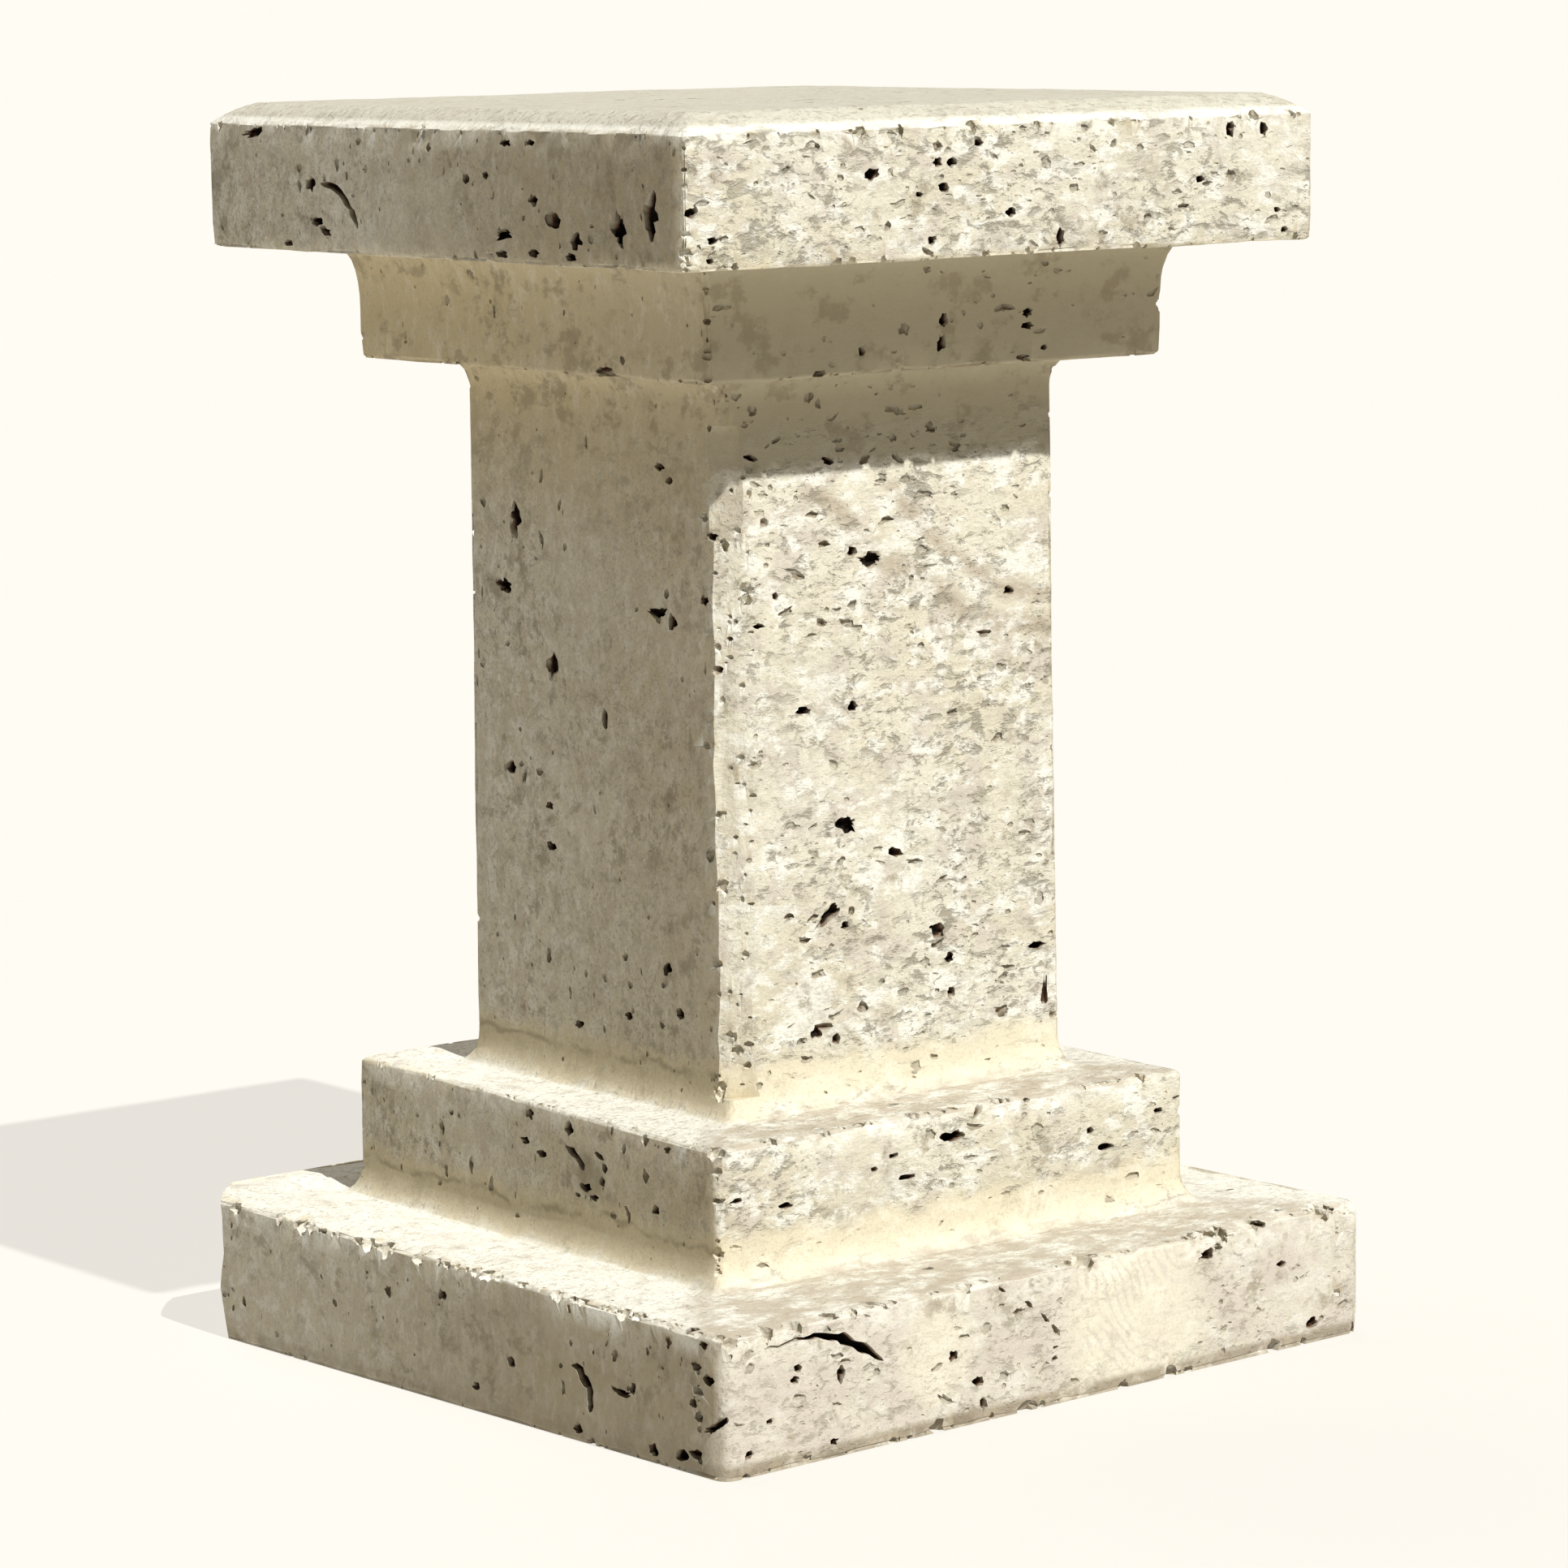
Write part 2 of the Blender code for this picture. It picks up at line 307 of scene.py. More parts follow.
def wearBlock(build):
    # moves every point inwards a little, most where the edges of the stone are convex
    build.normal_update()
    bedStart = levels()[4] + 0.001  # the chamfer and the top bed have no arris to wear
    moves = []
    for point in build.verts:
        place = point.co
        if place.z < wear["bedHeight"] and point.normal.z < -0.9:
            continue
        bend = sum(edge.calc_face_angle_signed(0.0) for edge in point.link_edges)
        sharp = clamp(bend / wear["sharpBend"]) if place.z < bedStart else 0.0
        lump = 0.35 + noise.noise(place * wear["arrisPitch"])
        lump += 0.6 * noise.noise(place * wear["arrisFinePitch"])
        swell = 0.5 + 0.5 * noise.noise(place * wear["swellPitch"])
        dent = 0.5 + 0.5 * noise.noise(place * wear["dentPitch"])
        depth = sharp * max(0.0, lump) * wear["arrisDepth"]
        if wear["raggedLow"] < place.z < wear["raggedHigh"]:
            depth *= wear["raggedMore"]
        depth += swell * wear["swellDepth"] + dent * wear["dentDepth"]
        moves.append((point, point.normal * -depth))
    for point, move in moves:
        point.co += move
    print("worn:", len(moves), "points")


# Natural holes read off the photograph: x, y, width and height in its pixels,
# lean anticlockwise in degrees, depth in millimetres, bend of a long one
holesInPhoto = {
    "slab left": [
        (312, 163, 26, 13, 8, 5, 0), (383, 227, 14, 24, 0, 6, 0),
        (391, 272, 18, 14, 0, 6, 0), (401, 284, 16, 12, -20, 5, 0), (356, 299, 14, 9, 0, 5, 0),
        (623, 176, 14, 11, 0, 5, 0), (652, 176, 12, 9, 0, 5, 0), (574, 220, 11, 14, 0, 4, 0),
        (598, 216, 10, 12, 0, 4, 0), (657, 246, 13, 16, 0, 6, 0), (762, 285, 19, 44, 4, 14, 0),
        (801, 265, 19, 54, -3, 14, 0.1), (621, 289, 24, 13, 8, 7, 0), (618, 313, 17, 11, 0, 6, 0),
        (658, 312, 18, 11, 0, 6, 0), (682, 272, 20, 26, 0, 4, 0), (710, 298, 15, 24, -10, 7, 0),
        (703, 317, 14, 12, 0, 6, 0), (766, 331, 14, 12, 0, 6, 0), (789, 331, 14, 13, 30, 6, 0),
    ],
    "slab right": [
        (852, 262, 16, 14, 10, 6, 0), (878, 297, 14, 11, 0, 6, 0), (875, 323, 12, 9, 0, 5, 0),
        (1074, 215, 20, 16, 15, 6, 0), (1155, 200, 14, 14, 0, 7, 0), (1173, 200, 14, 16, 0, 7, 0),
        (1206, 175, 12, 11, 0, 6, 0), (1163, 231, 15, 12, 0, 6, 0), (1133, 239, 11, 9, 0, 6, 0),
        (1246, 261, 14, 14, 0, 6, 0), (1149, 296, 13, 13, 0, 5, 0), (1307, 292, 12, 28, 0, 5, 0),
        (1516, 159, 14, 22, 0, 8, 0), (1557, 159, 11, 20, 0, 8, 0), (1479, 221, 12, 11, 0, 5, 0),
        (1574, 258, 11, 10, 0, 5, 0), (1583, 282, 11, 9, 0, 5, 0),
    ],
    "neck": [
        (745, 459, 26, 15, 0, 6, 0), (1163, 394, 11, 22, 5, 6, 0), (1160, 423, 13, 24, -5, 6, 0),
        (1266, 385, 16, 12, 0, 6, 0), (1266, 401, 16, 10, 0, 6, 0), (1010, 461, 18, 13, 10, 6, 0),
        (1062, 433, 9, 15, 8, 5, 0), (1286, 428, 12, 9, 0, 5, 0), (1262, 440, 22, 9, 4, 4, 0),
        (1429, 376, 24, 16, 0, 9, 0),
    ],
    "shaft left": [
        (634, 640, 15, 40, 8, 6, 0.1), (621, 720, 20, 20, 0, 6, 0), (680, 820, 13, 34, -8, 5, 0),
        (745, 886, 9, 26, 0, 6, 0), (811, 756, 24, 13, 12, 6, 0.2), (828, 766, 11, 24, 0, 7, 0),
        (868, 740, 12, 14, 0, 6, 0), (875, 660, 10, 11, 0, 5, 0), (925, 565, 18, 9, -15, 5, 0),
        (1020, 568, 16, 10, -20, 5, 0), (630, 945, 13, 17, 0, 6, 0), (677, 992, 12, 10, 0, 6, 0),
        (680, 1042, 13, 13, 0, 6, 0), (822, 1195, 12, 17, 20, 7, 0), (838, 1250, 11, 15, 0, 6, 0),
        (775, 1252, 11, 11, 0, 5, 0), (714, 1262, 12, 11, 0, 5, 0), (812, 576, 12, 12, 0, 4, 0),
        (824, 592, 10, 12, 0, 4, 0),
    ],
    "shaft right": [
        (990, 876, 20, 11, 0, 7, 0), (1051, 870, 13, 14, 0, 7, 0), (1045, 1015, 28, 22, -15, 6, 0),
        (1103, 1050, 20, 14, -20, 5, 0), (1021, 1128, 26, 15, 35, 6, 0), (1041, 1140, 13, 11, 0, 6, 0),
        (1155, 1147, 20, 24, -10, 5, 0), (1278, 1165, 22, 13, 0, 8, 0), (1287, 1222, 9, 42, -6, 5, 0),
        (1170, 1180, 12, 15, 0, 4, 0), (1172, 1222, 12, 14, 0, 4, 0), (1006, 1272, 15, 20, 0, 5, 0),
        (1030, 1280, 12, 15, 0, 5, 0), (1072, 690, 34, 20, 0, 5, 0), (1050, 680, 13, 13, 0, 4, 0),
        (955, 735, 10, 13, 0, 5, 0), (935, 772, 16, 8, 0, 4, 0), (1242, 727, 14, 12, 0, 5, 0),
    ],
    "step": [
        (653, 1372, 12, 14, 0, 5, 0), (647, 1405, 12, 10, 0, 5, 0), (668, 1422, 14, 10, 0, 5, 0),
        (701, 1391, 11, 20, -10, 8, 0), (739, 1425, 13, 8, -20, 5, 0), (745, 1439, 8, 15, -8, 5, 0),
        (741, 1456, 9, 12, 12, 5, 0), (722, 1463, 15, 13, 0, 7, 0),
        (733, 1476, 13, 8, 0, 6, 0), (712, 1472, 8, 7, 0, 5, 0), (822, 1417, 10, 9, 0, 4, 0),
        (808, 1492, 12, 13, 0, 5, 0), (1173, 1401, 28, 14, 0, 8, 0), (1117, 1450, 22, 9, 0, 5, 0),
        (908, 1480, 15, 8, 0, 4, 0), (968, 1486, 20, 9, 0, 5, 0), (1343, 1393, 11, 12, 0, 5, 0),
        (1362, 1413, 20, 11, 0, 6, 0), (1427, 1368, 12, 9, 0, 4, 0), (1456, 1435, 12, 12, 0, 5, 0),
        (1206, 1368, 18, 9, 40, 5, 0), (1222, 1355, 14, 8, 40, 4, 0), (1265, 1356, 10, 8, 0, 4, 0),
        (1100, 1361, 14, 9, 0, 4, 0), (1101, 1424, 13, 8, 0, 4, 0), (1077, 1441, 10, 8, 0, 4, 0),
    ],
    "plinth": [
        (545, 1595, 12, 15, 0, 5, 0), (764, 1716, 25, 9, -6, 4, 0.2), (779, 1711, 9, 20, -12, 6, 0),
        (630, 1678, 10, 16, 0, 5, 0), (587, 1708, 10, 12, 0, 5, 0), (712, 1760, 12, 15, 0, 5, 0),
        (805, 1787, 12, 20, 0, 6, 0), (840, 1793, 14, 18, 20, 6, 0), (862, 1791, 18, 14, 0, 6, 0),
        (880, 1760, 19, 11, 35, 6, 0.2), (983, 1686, 12, 12, 0, 5, 0),
        (979, 1701, 14, 10, 0, 5, 0), (1036, 1692, 11, 22, 0, 5, 0), (1206, 1702, 13, 16, 10, 5, 0),
        (1212, 1730, 10, 20, 0, 4, 0), (1175, 1671, 13, 15, 20, 5, 0), (1143, 1563, 13, 12, 0, 4, 0),
        (1074, 1606, 40, 13, -50, 3, 0),
        (1234, 1589, 10, 7, -30, 3, 0), (1268, 1607, 11, 6, -40, 3, 0), (1288, 1624, 11, 6, -45, 3, 0),
        (1301, 1639, 11, 7, -50, 3, 0),
        (1490, 1545, 16, 18, 0, 5, 0), (1500, 1537, 14, 12, 0, 5, 0), (1616, 1630, 20, 14, 0, 5, 0),
        (1301, 1660, 10, 6, 0, 3, 0), (1299, 1674, 10, 7, 0, 3, 0),
        (853, 1638, 13, 15, 0, 5, 0), (858, 1684, 13, 13, 0, 5, 0), (872, 1701, 12, 15, 0, 5, 0),
        (854, 1729, 11, 12, 0, 4, 0), (867, 1658, 11, 10, 0, 4, 0), (1028, 1776, 14, 11, 0, 5, 0),
        (948, 1752, 12, 9, 0, 4, 0), (1507, 1467, 28, 8, 0, 4, 0), (1575, 1491, 16, 10, 0, 5, 0),
        (1547, 1509, 13, 10, 0, 5, 0), (1579, 1557, 14, 10, 0, 4, 0), (923, 1793, 14, 10, 20, 4, 0),
    ],
}

# Cracks and grooves read off it the same way, from end to end:
# x, y and width in pixels, depth in millimetres
groovesInPhoto = {
    "front crack": [(940, 1664, 3, 1), (985, 1650, 5, 2), (1008, 1646, 7, 7), (1036, 1648, 12, 10),
                    (1058, 1658, 13, 10), (1074, 1667, 10, 8), (1090, 1677, 3, 2)],
    "left crack": [(702, 1682, 6, 4), (716, 1690, 16, 10), (724, 1706, 14, 10), (728, 1726, 13, 9),
                   (726, 1744, 7, 4)],
    "slab groove": [(393, 226, 5, 2), (408, 229, 10, 5), (424, 243, 9, 4), (434, 262, 10, 4),
                    (441, 284, 5, 2)],
    "step crevice": [(695, 1409, 5, 4), (705, 1418, 12, 8), (715, 1431, 10, 8), (721, 1444, 6, 5)],
}

groove = {
    "step": 7.0,  # pixels of the photograph from one ring of points to the next
    "waver": 3.6,  # pixels that a groove strays from the line through its points
    "lift": 0.35,  # share of its depth that the cutter stands above the face
}

hollow = {
    "sink": 0.3,  # share of a hole's depth that its middle lies under the face
    "rough": 0.42,
    "fineRough": 0.22,
    "bigHole": 0.0125,  # holes longer than this get a finer ball
    "smallHole": 0.0060,  # and shorter ones a coarse ball
    "seed": 11,
    "layers": 5,
    "cell": 0.04,  # must be wider than two of the largest holes reach
    "solver": "MANIFOLD",
}

# Smaller holes scattered over each side: how many, width range in metres, how long along
# and up against the width, depth against the width, how much thicker on the slab
scatter = {
    "left": {
        "facing": (-1, 0, 0), "count": 330, "size": (0.0016, 0.0058),
        "along": 0.85, "up": 1.3, "depth": 0.36, "slabMore": 0.4,
    },
    "front": {
        "facing": (0, -1, 0), "count": 820, "size": (0.0016, 0.0064),
        "along": 1.5, "up": 0.8, "depth": 0.28, "slabMore": 0.6,
    },
    "right": {
        "facing": (1, 0, 0), "count": 110, "size": (0.0018, 0.0064),
        "along": 0.8, "up": 1.6, "depth": 0.6, "slabMore": 0.0,
    },
    "back": {
        "facing": (0, 1, 0), "count": 150, "size": (0.0018, 0.0060),
        "along": 1.6, "up": 0.95, "depth": 0.5, "slabMore": 0.3,
    },
    "above": {
        "facing": (0, 0, 1), "count": 130, "size": (0.0016, 0.0052),
        "along": 1.6, "up": 1.0, "depth": 0.4, "slabMore": 0.0,
    },
}


def cameraTurn():
    azimuth = math.radians(camera["azimuth"] - camera["aside"])
    pitch = math.radians(90 - camera["pitch"])
    roll = math.radians(camera["roll"])
    return Matrix.Rotation(azimuth, 3, "Z") @ Matrix.Rotation(pitch, 3, "X") @ Matrix.Rotation(roll, 3, "Z")


def cameraPlace():
    azimuth = math.radians(camera["azimuth"])
    flat = Vector((math.sin(azimuth), -math.cos(azimuth), 0)) * camera["distance"]
    return flat + Vector((0, 0, camera["height"]))


def rayOfPixel(x, y):
    # direction from the lens through a pixel of the photograph
    middle = photoSide / 2
    reach = camera["lens"] / camera["sensor"] * photoSide
    return (cameraTurn() @ Vector((x - middle, middle - y, -reach))).normalized()


def metresPerPixel(place):
    depth = (place - cameraPlace()) @ (cameraTurn() @ Vector((0, 0, -1)))
    return depth / (camera["lens"] / camera["sensor"] * photoSide)


def sideOf(normal):
    # the square side of the block that a point faces, with the directions along and up it
    sides = (Vector((-1, 0, 0)), Vector((0, -1, 0)), Vector((1, 0, 0)), Vector((0, 1, 0)), Vector((0, 0, 1)))
    outward = max(sides, key=lambda side: side @ normal)
    up = Vector((0, 1, 0)) if outward.z else Vector((0, 0, 1))
    return outward, up.cross(outward), up


class Layers:
    # cutters sorted into layers, so that no two in one layer touch
    def __init__(self, count, cell):
        self.builds = [bmesh.new() for i in range(count)]
        self.cells = [{} for i in range(count)]
        self.cell = cell
        self.counts = [0] * count
        self.dropped = 0

    def key(self, place):
        return tuple(int(value // self.cell) for value in place)

    def free(self, cells, place, reach):
        middle = self.key(place)
        for step in product((-1, 0, 1), repeat=3):
            for other, span in cells.get(tuple(a + b for a, b in zip(middle, step)), ()):
                if (place - other).length < reach + span:
                    return False
        return True

    def room(self, place, reach):
        for i, cells in enumerate(self.cells):
            if self.free(cells, place, reach):
                cells.setdefault(self.key(place), []).append((place.copy(), reach))
                self.counts[i] += 1
                return self.builds[i]
        self.dropped += 1
        return None


def axesOf(normal, lean):
    outward, along, up = sideOf(normal)
    turn = Matrix.Rotation(math.radians(lean), 3, outward)
    return Matrix((turn @ along, turn @ up, outward)).transposed()


def addHollow(layers, place, axes, size, bend=0.0, seed=0.0, sink=None):
    # a lumpy ball set into the face: size is its width, height and depth below the face
    width, height, depth = size
    build = layers.room(place, max(size) * 0.62)
    if build is None:
        return
    sink = hollow["sink"] if sink is None else sink
    deep = depth / (1 + sink)
    centre = place - axes.col[2] * deep * sink
    reach = max(width, height)
    detail = 3 if reach > hollow["bigHole"] else 2 if reach > hollow["smallHole"] else 1
    ball = bmesh.new()
    bmesh.ops.create_icosphere(ball, subdivisions=detail, radius=1.0)
    shift = Vector((seed * 7.3, seed * 3.7, seed * 5.9))
    long = width > height
    for point in ball.verts:
        start = point.co.copy()
        lump = 1 + hollow["rough"] * noise.noise(start * 1.7 + shift) * 1.6
        lump += hollow["fineRough"] * noise.noise(start * 4.0 + shift)
        shape = Vector((start.x * width / 2, start.y * height / 2, start.z * deep)) * max(0.25, lump)
        if long:
            shape.y += bend * (shape.x ** 2) / (width / 2)
        else:
            shape.x += bend * (shape.y ** 2) / (height / 2)
        point.co = centre + axes @ shape
    mesh = bpy.data.meshes.new("hollow")
    ball.to_mesh(mesh)
    ball.free()
    build.from_mesh(mesh)
    bpy.data.meshes.remove(mesh)


def addPhotoHoles(layers, tree):
    eye = cameraPlace()
    seed = 1
    for holes in holesInPhoto.values():
        for x, y, width, height, lean, depth, bend in holes:
            place, normal, index, distance = tree.ray_cast(eye, rayOfPixel(x, y))
            if place is None:
                continue
            axes = axesOf(normal, lean)
            scale = metresPerPixel(place)
            across = abs(axes.col[0] @ (cameraTurn() @ Vector((1, 0, 0))))
            seed += 1
            size = (width * scale / max(0.4, across), height * scale, depth / 1000)
            addHollow(layers, place, axes, size, bend, seed)


def grooveSpot(tree, path, share, seed):
    # where a groove runs at a share of its length, with its half width and depth there
    lengths = [math.dist(a[:2], b[:2]) for a, b in zip(path, path[1:])]
    left = share * sum(lengths)
    for start, end, length in zip(path, path[1:], lengths):
        if left <= length or end == path[-1]:
            break
        left -= length
    part = min(1.0, left / length)
    x, y, width, depth = (a + (b - a) * part for a, b in zip(start, end))
    reach = share * sum(lengths) / 16
    x += groove["waver"] * noise.noise(Vector((reach, seed, 0)))
    y += groove["waver"] * noise.noise(Vector((reach, seed, 9)))
    width *= 1 + 0.9 * noise.noise(Vector((reach * 2.3, seed, 4)))
    place, normal, index, distance = tree.ray_cast(cameraPlace(), rayOfPixel(x, y))
    return place, normal, width * metresPerPixel(place) / 2, depth / 1000


def addGroove(build, tree, path, seed):
    # a ball of rings drawn out along the path
    length = sum(math.dist(a[:2], b[:2]) for a, b in zip(path, path[1:]))
    steps = max(5, int(length / groove["step"]))
    spots = [grooveSpot(tree, path, i / steps, seed) for i in range(steps + 1)]
    tube = bmesh.new()
    bmesh.ops.create_uvsphere(tube, u_segments=8, v_segments=steps, radius=1.0)
    for point in tube.verts:
        ring = round(math.acos(max(-1.0, min(1.0, point.co.z))) / math.pi * steps)
        turn = math.atan2(point.co.y, point.co.x)
        place, normal, half, depth = spots[ring]
        if ring in (0, steps):
            point.co = place - normal * depth * 0.2
            continue
        tangent = (spots[ring + 1][0] - spots[ring - 1][0]).normalized()
        outward = (normal - tangent * (normal @ tangent)).normalized()
        rise = math.sin(turn) * (groove["lift"] if math.sin(turn) > 0 else 1.0)
        point.co = place + tangent.cross(outward) * half * math.cos(turn) + outward * depth * rise
    mesh = bpy.data.meshes.new("groove")
    tube.to_mesh(mesh)
    tube.free()
    build.from_mesh(mesh)
    bpy.data.meshes.remove(mesh)


def makeGrooves(tree):
    build = bmesh.new()
    for seed, path in enumerate(groovesInPhoto.values()):
        addGroove(build, tree, path, seed)
    return build


def addScatter(layers, tree):
    chance = random.Random(hollow["seed"])
    half = block["plinthWidth"] / 2
    top = levels()[-1]
    smooth = marks["swirl"]  # no holes in the smooth patch
    for settings in scatter.values():
        facing = Vector(settings["facing"])
        outward, along, up = sideOf(facing)
        count = settings["count"] // 1
        made = 0
        tries = 0
        while made < count and tries < 12 * count:
            tries += 1
            if facing.z:
                start = Vector((chance.uniform(-half, half), chance.uniform(-half, half), top + half))
            else:
                start = along * chance.uniform(-half, half) + outward * 2 * half
                start.z = chance.uniform(0, top)
            place, normal, index, distance = tree.ray_cast(start, -facing)
            if place is None or normal @ facing < 0.93:
                continue
            if facing.y < 0 and math.dist((place.x, place.z), smooth[:2]) < smooth[2] * 0.9:
                continue
            crowd = noise.noise(place * 14) + 0.6 * noise.noise(place * 37)
            if place.z > levels()[3]:
                crowd += settings["slabMore"]
            if crowd < chance.uniform(-0.5, 0.5):
                continue
            small, large = settings["size"]
            size = small * (large / small) ** (chance.random() ** 1.7)
            stretch = chance.uniform(0.7, 1.35)
            shape = (
                size * settings["along"] * stretch,
                size * settings["up"] / stretch,
                size * settings["depth"] * chance.uniform(0.6, 1.5),
            )
            axes = axesOf(normal, chance.gauss(0, 14))
            addHollow(layers, place, axes, shape, chance.uniform(-0.2, 0.2), 100 + tries + count)
            made += 1


# Nicks bitten out of the arrises: how many a metre and their lengths in metres, on the left,
# the front and the two hidden sides
nicks = {
    "bed": {
        "level": ("slabWidth", 4),
        "left": (60, 0.0020, 0.0060), "front": (60, 0.0020, 0.0085), "hidden": (16, 0.0016, 0.0055),
    },
    "slabFoot": {
        "level": ("slabWidth", 3),
        "left": (60, 0.0020, 0.0075), "front": (80, 0.0020, 0.0075), "hidden": (20, 0.0016, 0.0060),
    },
    "neckFoot": {
        "level": ("neckWidth", 2),
        "left": (36, 0.0020, 0.0065), "front": (36, 0.0020, 0.0065), "hidden": (14, 0.0016, 0.0050),
    },
    "stepHead": {
        "level": ("stepWidth", 1),
        "left": (90, 0.0020, 0.0056), "front": (100, 0.0030, 0.0100), "hidden": (24, 0.0016, 0.0060),
    },
    "plinthHead": {
        "level": ("plinthWidth", 0),
        "left": (190, 0.0036, 0.0096), "front": (110, 0.0036, 0.0130), "hidden": (34, 0.0016, 0.0070),
    },
    "plinthFoot": {
        "level": ("plinthWidth", -1),
        "left": (40, 0.0020, 0.0080), "front": (60, 0.0024, 0.0110), "hidden": (14, 0.0020, 0.0090),
    },
}

# The same on the upright arrises: on the near one, and on the other three
uprightNicks = {"near": (190, 0.0024, 0.0070), "far": (44, 0.0018, 0.0060)}
flatSpread = 0.0105  # half the width that they are spread over where the shaft's arris is flat


def bite(layers, tree, chance, edge, outward, along, size, seed):
    # one nick, set where a ray towards the edge meets the stone
    start = edge + outward * 0.03
    place, normal, index, distance = tree.ray_cast(start, -outward, 0.06)
    if place is None:
        return
    axes = Matrix((along, outward.cross(along), outward)).transposed()
    ranges = ((0.5, 1.2), (0.6, 1.3), (0.4, 0.75))
    shape = tuple(size * chance.uniform(low, high) for low, high in ranges)
    addHollow(layers, place, axes, shape, 0.0, seed, 0.15)


def nickSize(chance, small, large):
    return small * (large / small) ** (chance.random() ** 1.4)


def addNicks(layers, tree):
    chance = random.Random(hollow["seed"] + 1)
    heights = levels()
    seed = 5000
    sides = {"left": (-1, 0, 0), "front": (0, -1, 0), "right": (1, 0, 0), "back": (0, 1, 0)}
    part = 1.0
    for name, settings in nicks.items():
        width, level = settings["level"]
        half = block[width] / 2
        height = 0.0 if level < 0 else heights[level]
        rise = -0.7 if name.endswith("Foot") else 0.7
        for sideName, side in sides.items():
            side = Vector(side)
            count, small, large = settings.get(sideName, settings["hidden"])
            along = Vector((0, 0, 1)).cross(side)
            for i in range(int(count * part * 2 * half)):
                seed += 1
                edge = side * half + along * chance.uniform(-half, half)
                edge.z = height
                if width == "plinthWidth":
                    edge = plinthTurn(0) @ edge
                outward = Vector((side.x, side.y, rise)).normalized()
                size = nickSize(chance, small, large)
                bite(layers, tree, chance, edge, outward, along, size, seed)
    bases = (0.0, *heights[:-1])
    widths = ("plinthWidth", "stepWidth", "shaftHeadWidth", "neckWidth", "slabWidth")
    for width, low, high in zip(widths, bases, bases[1:]):
        half = block[width] / 2
        for sx, sy in product((-1, 1), repeat=2):
            outward = Vector((sx, sy, 0)).normalized()
            count, small, large = uprightNicks["near" if sx + sy < 0 else "far"]
            spread = flatSpread if sx + sy < 0 and width == "shaftHeadWidth" else 0.0
            aside = Vector((-outward.y, outward.x, 0))
            for i in range(int(count * part * (high - low))):
                seed += 1
                edge = Vector((sx * half, sy * half, chance.uniform(low, high)))
                edge += aside * chance.uniform(-spread, spread)
                size = nickSize(chance, small, large)
                bite(layers, tree, chance, edge, outward, Vector((0, 0, 1)), size, seed)


def addWedge(build, foot, head, footLeg, headLeg, rough, seed, turn=0.0, cuts=9):
    # a rough-faced block that cuts an upright corner flat
    outward = Matrix.Rotation(math.radians(turn), 3, "Z") @ Vector((foot.x, foot.y, 0)).normalized()
    along = Vector((0, 0, 1)).cross(outward)
    wedge = bmesh.new()
    bmesh.ops.create_cube(wedge, size=1.0)
    bmesh.ops.subdivide_edges(wedge, edges=wedge.edges[:], cuts=cuts, use_grid_fill=True)
    for point in wedge.verts:
        up = point.co.z + 0.5
        leg = footLeg + (headLeg - footLeg) * up
        depth = -leg * math.sqrt(0.5) if point.co.x < 0 else 2 * leg * (point.co.x + 0.5)
        if point.co.x < -0.45:
            spot = Vector((point.co.y * 2.2, point.co.z * 0.26 * cuts + 1, seed))
            depth += rough * (noise.noise(spot * 1.3) + 0.5 * noise.noise(spot * 3.1))
        spread = 3.2 * leg * point.co.y
        point.co = foot.lerp(head, up) + outward * depth + along * spread
    mesh = bpy.data.meshes.new("wedge")
    wedge.to_mesh(mesh)
    wedge.free()
    build.from_mesh(mesh)
    bpy.data.meshes.remove(mesh)


def makeWedges():
    build = bmesh.new()
    half = block["plinthWidth"] / 2
    foot = plinthTurn(0) @ Vector((-half, half, -0.01))
    head = plinthTurn(0) @ Vector((-half, half, block["plinthHeight"] + 0.01))
    addWedge(build, foot, head, block["breakFootLeg"], block["breakLeg"], 0.0035, 3)
    half = block["shaftHeadWidth"] / 2
    foot = Vector((-half, -half, block["flatFoot"]))
    head = Vector((-half, -half, block["flatTop"]))
    addWedge(build, foot, head, block["flatLeg"], block["flatLeg"], 0.0008, 7)
    return build


def makeRubbed():
    half = block["shaftFootWidth"] / 2
    build = bmesh.new()
    foot = Vector((-half, -half, levels()[1] + block["footCove"][1] * 0.6))
    head = Vector((-half, -half, block["flatFoot"] + 0.004))
    leg = block["rubbedLeg"]
    addWedge(build, foot, head, leg, leg, 0.0024, 15, block["rubbedTurn"], 26)
    return build


def applyCut(stone, build, name):
    bmesh.ops.recalc_face_normals(build, faces=build.faces[:])
    mesh = bpy.data.meshes.new(name)
    build.to_mesh(mesh)
    build.free()
    cutter = bpy.data.objects.new(name, mesh)
    bpy.context.scene.collection.objects.link(cutter)
    cut = stone.modifiers.new(name, "BOOLEAN")
    cut.operation = "DIFFERENCE"
    cut.solver = hollow["solver"]
    cut.object = cutter
    graph = bpy.context.evaluated_depsgraph_get()
    cutMesh = bpy.data.meshes.new_from_object(stone.evaluated_get(graph))
    stone.modifiers.clear()
    stone.data = cutMesh
    bpy.data.objects.remove(cutter)


def newObject(name, build):
    mesh = bpy.data.meshes.new(name)
    build.to_mesh(mesh)
    made = bpy.data.objects.new(name, mesh)
    bpy.context.scene.collection.objects.link(made)
    return made


def surfaceTree(stone):
    return BVHTree.FromPolygons(
        [point.co for point in stone.data.vertices], [face.vertices[:] for face in stone.data.polygons]
    )


def cutLayers(stone, layers, name):
    for i, build in enumerate(layers.builds):
        if build.verts:
            applyCut(stone, build, name + str(i))
        print(name, "layer", i, ":", layers.counts[i], "cut,", len(stone.data.polygons), "faces")
    print(name, "left out:", layers.dropped)


